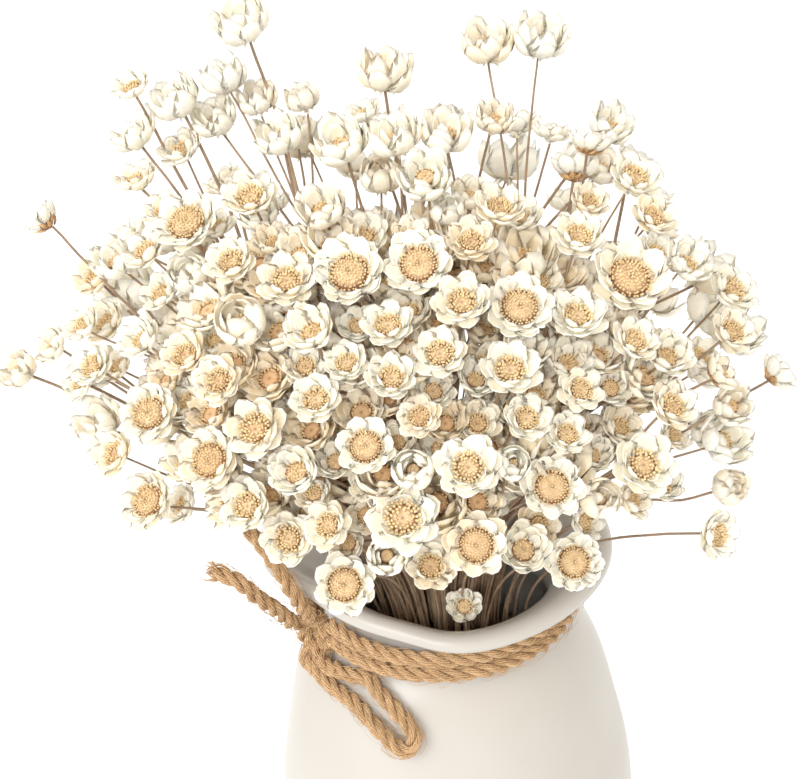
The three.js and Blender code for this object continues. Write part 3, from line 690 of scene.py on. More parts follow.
    def space_out(self, blooms: list[Bloom], sprays: list[Spray]) -> None:
        """Moves crowded heads and stalks apart, mostly along the line of sight.

        Args:
            blooms: all blooms, which are moved.
            sprays: the sprays, whose stems stay.
        """
        stems = self.stem_samples(sprays)
        places, middles, forks, leaves, facings, widths = (
            np.array([getattr(b, word) for b in blooms])
            for word in ("place", "middle", "fork", "leaves", "facing", "width")
        )
        seen = np.array([b.line is not None for b in blooms])
        lines = np.array([np.zeros(3) if b.line is None else b.line for b in blooms])
        to_base = facings * (Bloom.BASE_DEPTH * widths)[:, None]
        others = ~np.eye(len(blooms), dtype=bool)
        head_room = (widths[:, None] + widths) * self.head_share + self.head_room
        for _ in range(self.spacing_rounds):
            moves = self.head_give * self.pushes(places, places, head_room).sum(axis=1)
            bends = np.zeros_like(places)
            for s, give, follows in zip(self.stalk_places, self.stalk_give, self.head_follows):
                stalks = forks * (1 - s) * (1 - 2 * s) + middles * 4 * s * (1 - s)
                stalks += (places - to_base) * s * (2 * s - 1)
                push = self.pushes(stalks, places, widths * self.head_share + self.stalk_room)
                push *= others[..., None]
                bends += give * push.sum(axis=1)
                moves += follows * push.sum(axis=1) - self.head_give_to_stalk * push.sum(axis=0)
            push = self.pushes(stems, places, widths * self.head_share + self.stem_room)
            moves -= self.head_give_to_stem * push.sum(axis=0)
            along_sight = lines * (moves * lines).sum(axis=1, keepdims=True)
            moves = np.where(seen[:, None], (moves + along_sight) / 2, moves)
            places = places + moves
            middles = middles + bends + self.middle_follows * moves
            resting = self.resting_middles(places - to_base, forks, leaves, facings)
            middles = middles + self.middle_settles * (resting - middles)
        for bloom, place, middle in zip(blooms, places, middles):
            bloom.place, bloom.middle = place, middle


# Meshes

@dataclass
class Shape:
    """Points, faces and each point's across and along coordinates."""

    points: Array
    faces: list[tuple[int, ...]]
    coords: Array

    def mesh(self, name: str, material: Material | None = None) -> Mesh:
        """Returns the shape as a smooth mesh with its coordinates in a UV map.

        Args:
            name: the mesh's name.
            material: its material, if it has one yet.

        Returns:
            The mesh.
        """
        mesh = bpy.data.meshes.new(name)
        mesh.from_pydata(self.points.tolist(), [], self.faces)
        corners = np.zeros(len(mesh.loops), np.int32)
        mesh.loops.foreach_get("vertex_index", corners)
        layer = mesh.uv_layers.new(name="Place")
        layer.data.foreach_set("uv", self.coords[corners].astype(np.float32).ravel())
        mesh.polygons.foreach_set("use_smooth", [True] * len(mesh.polygons))
        if material:
            mesh.materials.append(material)
        return mesh


def grid_faces(rows: int, columns: int, closed: bool = False, first: int = 0) -> list[tuple[int, ...]]:
    """Returns the quads of a grid of points, row by row, joined round if it is closed.

    Args:
        rows: how many rows there are.
        columns: how many points each has.
        closed: whether each row joins up.
        first: the first point's number.

    Returns:
        The faces.
    """
    faces = []
    for i in range(rows - 1):
        for j in range(columns if closed else columns - 1):
            a, b = i * columns + j, i * columns + (j + 1) % columns
            faces.append((first + a, first + b, first + b + columns, first + a + columns))
    return faces


def lathe(profile: Array, sides: int) -> Shape:
    """Turns a profile of radii and heights that starts and ends on the axis.

    Args:
        profile: the radii and heights.
        sides: how many sides a turn has.

    Returns:
        The turned shape.
    """
    turns = np.arange(sides) / sides * TURN
    ring = np.stack([np.cos(turns), np.sin(turns)], axis=1)
    points, coords = [np.array([0, 0, profile[0][1]])], [np.array([0.5, 0])]
    for i, (radius, height) in enumerate(profile[1:-1]):
        along = (i + 1) / (len(profile) - 1)
        points += [np.array([radius * x, radius * y, height]) for x, y in ring]
        coords += [np.array([j / sides, along]) for j in range(sides)]
    points.append(np.array([0, 0, profile[-1][1]]))
    coords.append(np.array([0.5, 1]))
    last = len(points) - 1
    faces = grid_faces(len(profile) - 2, sides, closed=True, first=1)
    faces += [(0, 1 + (j + 1) % sides, 1 + j) for j in range(sides)]
    faces += [(last, last - sides + j, last - sides + (j + 1) % sides) for j in range(sides)]
    return Shape(np.array(points), faces, np.array(coords))


def link(name: str, mesh: Mesh) -> Object:
    """Puts a mesh in the scene as an object at the origin.

    Args:
        name: the object's name.
        mesh: its mesh.

    Returns:
        The object.
    """
    made = bpy.data.objects.new(name, mesh)
    bpy.context.scene.collection.objects.link(made)
    return made


def joined(name: str, parts: list[Object]) -> Object:
    """Joins objects into the first of them, under a new name.

    Args:
        name: the new name.
        parts: the objects.

    Returns:
        The one object that is left.
    """
    bpy.ops.object.select_all(action="DESELECT")
    for part in parts:
        part.select_set(True)
    bpy.context.view_layer.objects.active = parts[0]
    bpy.ops.object.join()
    parts[0].name = name
    parts[0].data.name = name
    return parts[0]


# Node trees

class Nodes:
    """A node tree under construction."""

    def __init__(self, tree: NodeTree) -> None:
        """Starts on an empty tree."""
        self.tree = tree
        tree.nodes.clear()

    def socket(self, name: str, kind: str, side: str = "INPUT") -> None:
        """Adds a named input or output of a kind to the tree."""
        self.tree.interface.new_socket(name, in_out=side, socket_type="NodeSocket" + kind)

    def node(self, kind: str, settings: dict | None = None, inputs: dict | None = None) -> Node:
        """Adds a node.

        Args:
            kind: the node's type.
            settings: the node's own properties.
            inputs: a value or a socket for each input, by name or number.

        Returns:
            The node.
        """
        node = self.tree.nodes.new(kind)
        for key, value in (settings or {}).items():
            setattr(node, key, value)
        for key, value in (inputs or {}).items():
            named = (s for s in node.inputs if s.enabled and s.name == key)
            socket = node.inputs[key] if isinstance(key, int) else next(named)
            if isinstance(value, Socket):
                self.tree.links.new(value, socket)
            else:
                socket.default_value = value
        return node

    def result(self, kind: str, settings: dict | None = None, inputs: dict | None = None) -> Socket:
        """Adds a node and returns its first output that is in use."""
        return next(s for s in self.node(kind, settings, inputs).outputs if s.enabled)

    def math(self, operation: str, first: object, second: object) -> Socket:
        """Returns the result of a sum on two sockets or numbers."""
        return self.result("ShaderNodeMath", {"operation": operation}, {0: first, 1: second})


class GrowthTree(Nodes):
    """A geometry node tree under construction, with named inputs."""

    def __init__(self, name: str, inputs: dict[str, str]) -> None:
        """Makes a tree that takes and gives one geometry.

        Args:
            name: the tree's name.
            inputs: the kind of each further input, by name.
        """
        super().__init__(bpy.data.node_groups.new(name, "GeometryNodeTree"))
        self.socket("Geometry", "Geometry")
        self.socket("Geometry", "Geometry", "OUTPUT")
        for key, kind in inputs.items():
            self.socket(key, kind)
        self.given = self.node("NodeGroupInput").outputs
        self.end = self.node("NodeGroupOutput")

    def attribute(self, name: str, kind: str) -> Socket:
        """Returns a named attribute of the geometry."""
        node = self.node("GeometryNodeInputNamedAttribute", {"data_type": kind}, {"Name": name})
        return node.outputs["Attribute"]

    def finish(self, geometry: Socket) -> NodeTree:
        """Ends the tree in Realize Instances and Set Material.

        Args:
            geometry: what the tree has made.

        Returns:
            The finished tree.
        """
        real = self.result("GeometryNodeRealizeInstances", None, {"Geometry": geometry})
        values = {"Geometry": real, "Material": self.given["Material"]}
        self.tree.links.new(self.result("GeometryNodeSetMaterial", None, values), self.end.inputs[0])
        return self.tree


def scatter_tree() -> NodeTree:
    """Makes the tree that sets one of a collection's shapes on every point, swayed a little by chance.

    Returns:
        The tree, with inputs for the shapes, the sways, the seed and the material.
    """
    tree = GrowthTree("Set shapes on points", {
        "Shapes": "Collection", "Turn sway": "Float", "Size sway": "Float", "Seed": "Int",
        "Material": "Material",
    })
    shapes, turn_sway, size_sway, seed = (
        tree.given[name] for name in ("Shapes", "Turn sway", "Size sway", "Seed")
    )
    kit = tree.result("GeometryNodeCollectionInfo", None, {"Collection": shapes, "Separate Children": True})
    backward = tree.math("MULTIPLY", turn_sway, -1.0)
    sway = tree.result(
        "FunctionNodeRandomValue", {"data_type": "FLOAT_VECTOR"},
        {"Min": backward, "Max": turn_sway, "Seed": seed},
    )
    swayed = tree.result("FunctionNodeEulerToRotation", None, {"Euler": sway})
    turn = tree.result(
        "FunctionNodeRotateRotation", {"rotation_space": "LOCAL"},
        {"Rotation": tree.attribute("turn", "QUATERNION"), "Rotate By": swayed},
    )
    size = tree.result("FunctionNodeRandomValue", {"data_type": "FLOAT"}, {
        "Min": tree.math("SUBTRACT", 1.0, size_sway), "Max": tree.math("ADD", 1.0, size_sway),
        "Seed": tree.math("ADD", seed, 1.0),
    })
    scale = tree.result(
        "ShaderNodeVectorMath", {"operation": "SCALE"},
        {0: tree.attribute("size", "FLOAT_VECTOR"), "Scale": size},
    )
    return tree.finish(tree.result("GeometryNodeInstanceOnPoints", None, {
        "Points": tree.given["Geometry"], "Instance": kit, "Pick Instance": True,
        "Instance Index": tree.attribute("shape", "INT"), "Rotation": turn, "Scale": scale,
    }))


def strand_tree() -> NodeTree:
    """Makes the tree that sweeps a round strand along every line, with small wiggles.

    Returns:
        The tree, with inputs for the strands' sides, the wiggles and the material.
    """
    tree = GrowthTree("Strands along lines", {
        "Sides": "Int", "Wiggle": "Float", "Wiggles per metre": "Float", "Material": "Material",
    })
    line = tree.result("GeometryNodeMeshToCurve", None, {"Mesh": tree.given["Geometry"]})
    noise = tree.node("ShaderNodeTexNoise", {"noise_dimensions": "4D"}, {
        "W": tree.attribute("lane", "FLOAT"), "Scale": tree.given["Wiggles per metre"], "Detail": 1.0,
    })
    centred = tree.result(
        "ShaderNodeVectorMath", {"operation": "SUBTRACT"}, {0: noise.outputs["Color"], 1: (0.5, 0.5, 0.5)}
    )
    offset = tree.result(
        "ShaderNodeVectorMath", {"operation": "SCALE"}, {0: centred, "Scale": tree.given["Wiggle"]}
    )
    moved = tree.result("GeometryNodeSetPosition", None, {"Geometry": line, "Offset": offset})
    ring = tree.result(
        "GeometryNodeCurvePrimitiveCircle", None, {"Resolution": tree.given["Sides"], "Radius": 1.0}
    )
    tube = tree.result("GeometryNodeCurveToMesh", None, {
        "Curve": moved, "Profile Curve": ring, "Scale": tree.attribute("thick", "FLOAT"), "Fill Caps": True,
    })
    return tree.finish(tree.result("GeometryNodeSetShadeSmooth", None, {"Geometry": tube}))


def grown(name: str, mesh: Mesh, tree: NodeTree, values: dict) -> Object:
    """Runs a tree on a mesh and keeps the result as a plain object.

    Args:
        name: the new object's name.
        mesh: the points or lines that the tree works on.
        tree: the geometry node tree.
        values: the tree's inputs, by name.

    Returns:
        An object whose mesh is the tree's result, with no modifier.
    """
    seedling = link(name + "_points", mesh)
    modifier = seedling.modifiers.new("Grow", "NODES")
    modifier.node_group = tree
    for item in tree.interface.items_tree:
        if item.in_out == "INPUT" and item.name in values:
            modifier[item.identifier] = values[item.name]
    seedling.update_tag()
    depsgraph = bpy.context.evaluated_depsgraph_get()
    result = bpy.data.meshes.new_from_object(seedling.evaluated_get(depsgraph))
    bpy.data.objects.remove(seedling)
    bpy.data.meshes.remove(mesh)
    for word in ("turn", "size", "shape", "thick", "lane"):
        if word in result.attributes:
            result.attributes.remove(result.attributes[word])
    return link(name, result)


@dataclass
class Strands:
    """Lines to be made into round strands by the strand tree."""

    lines: list[tuple[Array, Array, Array]] = field(default_factory=list)
    lane_step: float = 1.7

    def add(self, path: Array, thick: Array | float, tint: float) -> None:
        """Adds one line by its points, its radius or one for each point, and its tone from 0 to 1."""
        self.lines.append((path, np.broadcast_to(thick, len(path)), np.full(len(path), tint)))

    def mesh(self, name: str) -> Mesh:
        """Returns the lines as a mesh of edges with their attributes, in metres.

        Args:
            name: the mesh's name.

        Returns:
            The mesh.
        """
        paths, thick, tint = zip(*self.lines)
        starts = np.cumsum([0, *[len(path) for path in paths]])
        edges = [(i, i + 1) for a, b in zip(starts, starts[1:]) for i in range(a, b - 1)]
        mesh = bpy.data.meshes.new(name)
        mesh.from_pydata((np.vstack(paths) * MM).tolist(), edges, [])
        lanes = [np.full(len(path), i * self.lane_step) for i, path in enumerate(paths)]
        along = [np.linspace(0, 1, len(path)) for path in paths]
        values = {"thick": np.concatenate(thick) * MM, "tint": np.concatenate(tint)}
        values.update(lane=np.concatenate(lanes), along=np.concatenate(along))
        for key, value in values.items():
            mesh.attributes.new(key, "FLOAT", "POINT").data.foreach_set("value", value.astype(np.float32))
        return mesh


@dataclass
class Scatter:
    """Points on which the scatter tree sets shapes."""

    points: list[tuple[Array, Array, Array, int, float]] = field(default_factory=list)

    def add(self, place: Array, axes: Array, size: Array, shape: int, tint: float) -> None:
        """Adds a shape by its place, its axes as rows, its size along each, its number and its age, which for
        blooms deep in the crown is partly painted shade.
        """
        turn = np.array(Matrix(axes.tolist()).transposed().to_quaternion())
        self.points.append((place, turn, size, shape, tint))

    def mesh(self, name: str) -> Mesh:
        """Returns the points as a mesh with their attributes, in metres.

        Args:
            name: the mesh's name.

        Returns:
            The mesh.
        """
        mesh = bpy.data.meshes.new(name)
        places, turns, sizes, shapes, tints = zip(*self.points) if self.points else [()] * 5
        mesh.from_pydata((np.array(places) * MM).tolist(), [], [])
        turn = mesh.attributes.new("turn", "QUATERNION", "POINT")
        turn.data.foreach_set("value", np.array(turns, np.float32).ravel())
        size = mesh.attributes.new("size", "FLOAT_VECTOR", "POINT")
        size.data.foreach_set("vector", (np.array(sizes) * MM).astype(np.float32).ravel())
        mesh.attributes.new("shape", "INT", "POINT").data.foreach_set("value", shapes)
        mesh.attributes.new("tint", "FLOAT", "POINT").data.foreach_set("value", tints)
        return mesh


class Kit:
    """A collection of small shapes that the scatter tree picks from by number."""

    def __init__(self, name: str) -> None:
        """Makes an empty kit."""
        self.collection = bpy.data.collections.new(name)
        self.count = 0

    def add(self, shape: Shape) -> int:
        """Adds a shape and returns its number.

        Args:
            shape: the shape.

        Returns:
            Its number.
        """
        name = f"{self.collection.name}_{self.count:03d}"
        self.collection.objects.link(bpy.data.objects.new(name, shape.mesh(name)))
        self.count += 1
        return self.count - 1

    def clear(self) -> None:
        for made in list(self.collection.objects):
            mesh = made.data
            bpy.data.objects.remove(made)
            bpy.data.meshes.remove(mesh)
        bpy.data.collections.remove(self.collection)


# Shader node groups and materials

@dataclass(frozen=True)
class Wash:
    """A colour laid over others by a share of a mask, which may first rise between two levels."""

    colour: Colour
    share: float = 1.0
    levels: Pair | None = None


@dataclass(frozen=True)
class Patches:
    """Soft patches: how fine their noise is, and the levels between which they rise."""

    scale: float
    low: float
    high: float


@dataclass(frozen=True)
class Streaks:
    """Fine lines: how many lie across and along a shape, and how far two shapes' lines differ."""

    across: float
    along: float
    differ: float


class Looks(Nodes):
    """A shader node tree under construction."""

    def ramp(self, value: Socket, low: float | Socket, high: float | Socket) -> Socket:
        """Returns a smooth rise from 0 at low to 1 at high."""
        values = {"Value": value, "From Min": low, "From Max": high}
        return self.result("ShaderNodeMapRange", {"interpolation_type": "SMOOTHSTEP"}, values)

    def attribute(self, name: str) -> Socket:
        """Returns a value stored on the mesh."""
        return self.node("ShaderNodeAttribute", {"attribute_name": name}).outputs["Fac"]


def shader_group(name: str, numbers: Sequence[str]) -> tuple[Looks, dict[str, Socket], Socket]:
    """Starts a shader node group that takes a vector and some numbers and puts out a mask.

    Args:
        name: the group's name.
        numbers: the names of the inputs that are numbers.

    Returns:
        The tree under construction, its inputs by name, and the socket for the mask.
    """
    looks = Looks(bpy.data.node_groups.new(name, "ShaderNodeTree"))
    looks.socket("Vector", "Vector")
    for number in numbers:
        looks.socket(number, "Float")
    looks.socket("Mask", "Float", "OUTPUT")
    given = looks.node("NodeGroupInput").outputs
    end = looks.node("NodeGroupOutput")
    return looks, {key: given[key] for key in ("Vector", *numbers)}, end.inputs["Mask"]


def patches_group(detail: float = 3.0) -> NodeTree:
    """Makes the group for soft patches: a mask from noise between two levels.

    Args:
        detail: how many finer layers the noise has.

    Returns:
        The group.
    """
    looks, given, mask = shader_group("Patches", ("Scale", "Low", "High"))
    values = {"Vector": given["Vector"], "Scale": given["Scale"], "Detail": detail}
    noise = looks.node("ShaderNodeTexNoise", None, values).outputs[0]
    looks.tree.links.new(looks.ramp(noise, given["Low"], given["High"]), mask)
    return looks.tree


def streaks_group(detail: float = 2.0, low: float = 0.35, high: float = 0.65) -> NodeTree:
    """Makes the group for fine lines along a shape, from its across and along places.

    Args:
        detail: how many finer layers the noise has.
        low: the noise level at which a line starts.
        high: the noise level at which it is full.

    Returns:
        The group.
    """
    looks, given, mask = shader_group("Streaks", ("Across", "Along", "Seed"))
    axes = looks.node("ShaderNodeSeparateXYZ", None, {0: given["Vector"]}).outputs
    across = looks.math("MULTIPLY", axes[0], given["Across"])
    along = looks.math("MULTIPLY", axes[1], given["Along"])
    place = looks.result("ShaderNodeCombineXYZ", None, {0: across, 1: along, 2: given["Seed"]})
    values = {"Vector": place, "Scale": 1.0, "Detail": detail}
    noise = looks.node("ShaderNodeTexNoise", None, values).outputs[0]
    looks.tree.links.new(looks.ramp(noise, low, high), mask)
    return looks.tree


@dataclass(frozen=True)
class SharedLooks:
    """The shader groups that several finishes use."""

    patches: NodeTree
    streaks: NodeTree


class Paint(Looks):
    """A material under construction, with the shared shader groups at hand."""

    def __init__(self, name: str, shared: SharedLooks) -> None:
        """Starts on a new material.

        Args:
            name: the material's name.
            shared: the shader groups.
        """
        self.material = bpy.data.materials.new(name)
        self.material.use_nodes = True
        self.shared = shared
        super().__init__(self.material.node_tree)

    def uv(self) -> Socket:
        """Returns the place across and along the shape."""
        return self.node("ShaderNodeUVMap", {"uv_map": "Place"}).outputs[0]

    def along(self) -> Socket:
        """Returns the place along the shape, from 0 to 1."""
        return self.node("ShaderNodeSeparateXYZ", None, {0: self.uv()}).outputs[1]

    def group(self, tree: NodeTree, **inputs: object) -> Socket:
        """Places a shader group with its own values and returns its mask."""
        return self.result("ShaderNodeGroup", {"node_tree": tree}, inputs)

    def patches(self, kind: Patches) -> Socket:
        """Returns a mask of soft patches."""
        place = self.node("ShaderNodeTexCoord").outputs["Object"]
        return self.group(self.shared.patches, Vector=place, Scale=kind.scale, Low=kind.low, High=kind.high)

    def streaks(self, kind: Streaks) -> Socket:
        """Returns a mask of fine lines along the shape."""
        values = {"Seed": self.math("MULTIPLY", self.attribute("tint"), kind.differ), "Vector": self.uv()}
        return self.group(self.shared.streaks, Across=kind.across, Along=kind.along, **values)

    def wash(self, under: Socket | Colour, mask: Socket, wash: Wash) -> Socket:
        """Lays a wash over what is painted.

        Args:
            under: the colour so far.
            mask: where the wash lies, from 0 to 1.
            wash: its colour, share and levels.

        Returns:
            The new colour.
        """
        if wash.levels:
            mask = self.ramp(mask, *wash.levels)
        values = {"Factor": self.math("MULTIPLY", mask, wash.share), "A": under, "B": wash.colour}
        return self.result("ShaderNodeMix", {"data_type": "RGBA"}, values)

    def blend(self, first: Socket, second: Socket, shares: Pair) -> Socket:
        """Returns the sum of a share of each of two masks."""
        parts = [self.math("MULTIPLY", mask, share) for mask, share in zip((first, second), shares)]
        return self.math("ADD", *parts)

    def bump(self, height: Socket, relief: Pair) -> Socket:
        """Returns the normals of a relief, which has a strength and a depth in metres."""
        values = {"Strength": relief[0], "Distance": relief[1], "Height": height}
        return self.result("ShaderNodeBump", None, values)

    def surface(self, inputs: dict) -> Material:
        """Ends the material in a Principled surface.

        Args:
            inputs: a value or a socket for each of the surface's inputs, by name.

        Returns:
            The material.
        """
        shader = self.node("ShaderNodeBsdfPrincipled", None, inputs)
        self.node("ShaderNodeOutputMaterial", None, {"Surface": shader.outputs[0]})
        return self.material


@dataclass(frozen=True)
class PetalFinish:
    """Papery ivory petals, tan towards their base, with fine creases along them and painted shade darkening
    the creases near the base.
    """

    pale: Colour = (0.98, 0.93, 0.77, 1)
    cream: Wash = Wash((0.98, 0.89, 0.66, 1), 0.35)
    tan: Wash = Wash((0.95, 0.79, 0.48, 1), 0.75, (0.5, 0.0))
    spotted: Wash = Wash((0.94, 0.70, 0.42, 1), 0.25)
    # Browner with age; for blooms deep in the crown partly painted shade.
    aged_and_shaded: Wash = Wash((0.94, 0.70, 0.42, 1), 0.85, (0.3, 0.9))
    # Dark brown in the creases near the base: painted shade.
    crease_shade: Wash = Wash((0.42, 0.30, 0.15, 1), 0.7)
    fine: Streaks = Streaks(16.0, 1.5, 57.0)
    broad: Streaks = Streaks(5.0, 1.0, 57.0)
    spots: Patches = Patches(120.0, 0.5, 0.8)
    crease_shade_levels: Pair = (0.6, 0.75)
    crease_shade_reach: Pair = (0.3, 0.1)
    relief_shares: Pair = (0.4, 0.6)
    relief: Pair = (0.45, 0.0003)
    roughness: float = 0.6
    glow: float = 0.6
    glow_radius: Triple = (1.0, 0.95, 0.85)
    glow_depth: float = 0.001

    def material(self, shared: SharedLooks) -> Material:
        """Makes the petals' material.

        Args:
            shared: the shader groups.

        Returns:
            The material.
        """
        paint = Paint("dried_petal", shared)
        fine = paint.streaks(self.fine)
        broad = paint.streaks(self.broad)
        along = paint.along()
        colour = paint.wash(self.pale, fine, self.cream)
        colour = paint.wash(colour, along, self.tan)
        colour = paint.wash(colour, paint.patches(self.spots), self.spotted)
        colour = paint.wash(colour, paint.attribute("tint"), self.aged_and_shaded)
        # Painted shade: dark lines in the creases near the petal's base.
        near_base = paint.ramp(along, *self.crease_shade_reach)
        lines = paint.math("MULTIPLY", paint.ramp(broad, *self.crease_shade_levels), near_base)
        height = paint.blend(fine, broad, self.relief_shares)
        return paint.surface({
            "Base Color": paint.wash(colour, lines, self.crease_shade), "Roughness": self.roughness,
            "Normal": paint.bump(height, self.relief), "Subsurface Weight": self.glow,
            "Subsurface Radius": self.glow_radius, "Subsurface Scale": self.glow_depth,
        })


@dataclass(frozen=True)
class FloretFinish:
    """Florets or husks in fine streaks, darker in patches and with age, with painted shade at their feet;
    deep in the crown the darkening with age is partly painted shade.
    """

    name: str
    light: Colour
    middle: Colour
    dark: Colour
    light_share: float = 0.6
    spot_share: float = 0.5
    foot_shade_levels: Pair = (0.45, 0.0)
    # Darker with age; for blooms deep in the crown partly painted shade.
    aged_and_shaded_share: float = 0.6
    aged_and_shaded_levels: Pair = (0.55, 1.0)
    lines: Streaks = Streaks(26.0, 2.0, 31.0)
    spots: Patches = Patches(500.0, 0.4, 0.65)
    relief: Pair = (0.4, 0.0002)
    roughness: float = 0.8

    def material(self, shared: SharedLooks) -> Material:
        """Makes the florets' or husks' material.

        Args:
            shared: the shader groups.

        Returns:
            The material.
        """
        paint = Paint(self.name, shared)
        lines = paint.streaks(self.lines)
        aged_and_shaded = Wash(self.dark, self.aged_and_shaded_share, self.aged_and_shaded_levels)
        colour = paint.wash(self.middle, lines, Wash(self.light, self.light_share))
        colour = paint.wash(colour, paint.patches(self.spots), Wash(self.dark, self.spot_share))
        # Painted shade: darker towards each floret's or husk's foot, down among the others.
        colour = paint.wash(colour, paint.along(), Wash(self.dark, 1.0, self.foot_shade_levels))
        colour = paint.wash(colour, paint.attribute("tint"), aged_and_shaded)
        normal = paint.bump(lines, self.relief)
        return paint.surface({"Base Color": colour, "Roughness": self.roughness, "Normal": normal})


@dataclass(frozen=True)
class DiscFinish:
    """The peach-beige middle that the florets stand round, with fine rays, a dark dot and painted shade at
    its rim and underside, beneath the florets and petals.
    """

    peach: Colour = (0.78, 0.56, 0.33, 1)
    gold: Wash = Wash((0.56, 0.36, 0.17, 1), 0.7)
    # Browner with age; for blooms deep in the crown partly painted shade.
    aged_and_shaded: Wash = Wash((0.50, 0.26, 0.11, 1), 0.7, (0.3, 0.9))
    # Painted shade: dark at the rim and underside, beneath the florets and petals.
    edge: Wash = Wash((0.20, 0.085, 0.04, 1), 1.0, (0.6, 0.4))
    dot: Wash = Wash((0.20, 0.085, 0.04, 1), 0.8, (0.7, 1.0))
    rays: Streaks = Streaks(34.0, 1.0, 19.0)
    relief: Pair = (0.4, 0.0003)
    roughness: float = 0.8

    def material(self, shared: SharedLooks) -> Material:
        """Makes the discs' material.

        Args:
            shared: the shader groups.

        Returns:
            The material.
        """
        paint = Paint("beige_disc", shared)
        rays = paint.streaks(self.rays)
        along = paint.along()
        colour = paint.wash(self.peach, rays, self.gold)
        colour = paint.wash(colour, paint.attribute("tint"), self.aged_and_shaded)
        # Painted shade at the disc's rim and underside.
        colour = paint.wash(colour, along, self.edge)
        colour = paint.wash(colour, along, self.dot)
        normal = paint.bump(rays, self.relief)
        return paint.surface({"Base Color": colour, "Roughness": self.roughness, "Normal": normal})


@dataclass(frozen=True)
class FibreFinish:
    """Plant fibre, each strand in a tone of its own, with soft patches and fine flecks."""

    name: str
    base: Colour
    toned: Wash
    patched: Wash
    flecked: Wash
    patches: Patches
    flecks: Patches
    relief: Pair
    roughness: float

    def material(self, shared: SharedLooks) -> Material:
        """Makes the fibre's material.

        Args:
            shared: the shader groups.

        Returns:
            The material.
        """
        paint = Paint(self.name, shared)
        flecks = paint.patches(self.flecks)
        colour = paint.wash(self.base, paint.attribute("tint"), self.toned)
        colour = paint.wash(colour, paint.patches(self.patches), self.patched)
        colour = paint.wash(colour, flecks, self.flecked)
        normal = paint.bump(flecks, self.relief)
        return paint.surface({"Base Color": colour, "Roughness": self.roughness, "Normal": normal})


@dataclass(frozen=True)
class GlazeFinish:
    """White glaze over stoneware, a little uneven and warmer in patches."""

    white: Colour = (0.41, 0.385, 0.35, 1)
    warm: Wash = Wash((0.37, 0.335, 0.295, 1), 0.5)
    patches: Patches = Patches(22.0, 0.35, 0.75)
    waves: Patches = Patches(45.0, 0.1, 0.9)
    relief: Pair = (0.12, 0.0006)
    roughness: float = 0.3
    rougher: float = 0.08
    coat: float = 0.15
    coat_roughness: float = 0.2

    def material(self, shared: SharedLooks) -> Material:
        """Makes the vase's material.

        Args:
            shared: the shader groups.

        Returns:
            The material.
        """
        paint = Paint("white_glaze", shared)
        patches = paint.patches(self.patches)
        rough = paint.math("ADD", paint.math("MULTIPLY", patches, self.rougher), self.roughness)
        return paint.surface({
            "Base Color": paint.wash(self.white, patches, self.warm), "Roughness": rough,
            "Normal": paint.bump(paint.patches(self.waves), self.relief), "Coat Weight": self.coat,
            "Coat Roughness": self.coat_roughness,
        })


@dataclass(frozen=True)
class FloorFinish:
    """A plain pale light table."""

    white: Colour = (0.5, 0.5, 0.5, 1)
    shade: Wash = Wash((0.48, 0.48, 0.48, 1))
    patches: Patches = Patches(3.0, 0.3, 0.7)
    roughness: float = 0.9
    glow: float = 0.55
    glow_colour: Colour = (1.0, 1.0, 1.0, 1.0)

    def material(self, shared: SharedLooks) -> Material:
        """Makes the floor's material.

        Args:
            shared: the shader groups.

        Returns:
            The material.
        """
        paint = Paint("studio_floor", shared)
        colour = paint.wash(self.white, paint.patches(self.patches), self.shade)
        return paint.surface({
            "Base Color": colour, "Roughness": self.roughness, "Emission Color": self.glow_colour,
            "Emission Strength": self.glow,
        })


GOLDEN_FLORET = FloretFinish(
    "golden_floret", (0.92, 0.76, 0.44, 1), (0.78, 0.55, 0.26, 1), (0.40, 0.21, 0.08, 1)
)
BROWN_HUSK = FloretFinish(
    "brown_husk", (0.70, 0.42, 0.18, 1), (0.52, 0.27, 0.10, 1), (0.22, 0.10, 0.04, 1)
)
DRIED_STEM = FibreFinish(
    "dried_stem", (0.34, 0.23, 0.135, 1), Wash((0.22, 0.13, 0.075, 1), 1.0, (0.1, 0.8)),
    Wash((0.09, 0.05, 0.033, 1), 0.7), Wash((0.34, 0.23, 0.135, 1), 0.25),
    Patches(140.0, 0.35, 0.7), Patches(900.0, 0.3, 0.7), (0.5, 0.0003), 0.7,
)
JUTE = FibreFinish(
    "jute_twine", (0.66, 0.41, 0.20, 1), Wash((0.44, 0.245, 0.10, 1)),
    Wash((0.66, 0.41, 0.20, 1), 0.45), Wash((0.14, 0.06, 0.025, 1), 0.6),
    Patches(260.0, 0.35, 0.7), Patches(2200.0, 0.3, 0.7), (0.6, 0.0002), 0.75,
)


@dataclass(frozen=True)
class Dress:
    """The materials of the whole part."""

    petal: Material
    floret: Material
    disc: Material
    husk: Material
    stem: Material
    jute: Material
    glaze: Material
    floor: Material

    @classmethod
    def make(cls) -> "Dress":
        """Makes every material with the shared groups.

        Returns:
            The materials.
        """
        shared = SharedLooks(patches_group(), streaks_group())
        finishes = (PetalFinish(), GOLDEN_FLORET, DiscFinish(), BROWN_HUSK, DRIED_STEM, JUTE, GlazeFinish())
        return cls(*(finish.material(shared) for finish in (*finishes, FloorFinish())))


# Twine

class Tail(Enum):
    """The free lengths of the twine, by their solid's name."""

    LEFT = "twine_tail_left"
    BACK = "twine_tail_back"
    LOOP = "twine_loop"


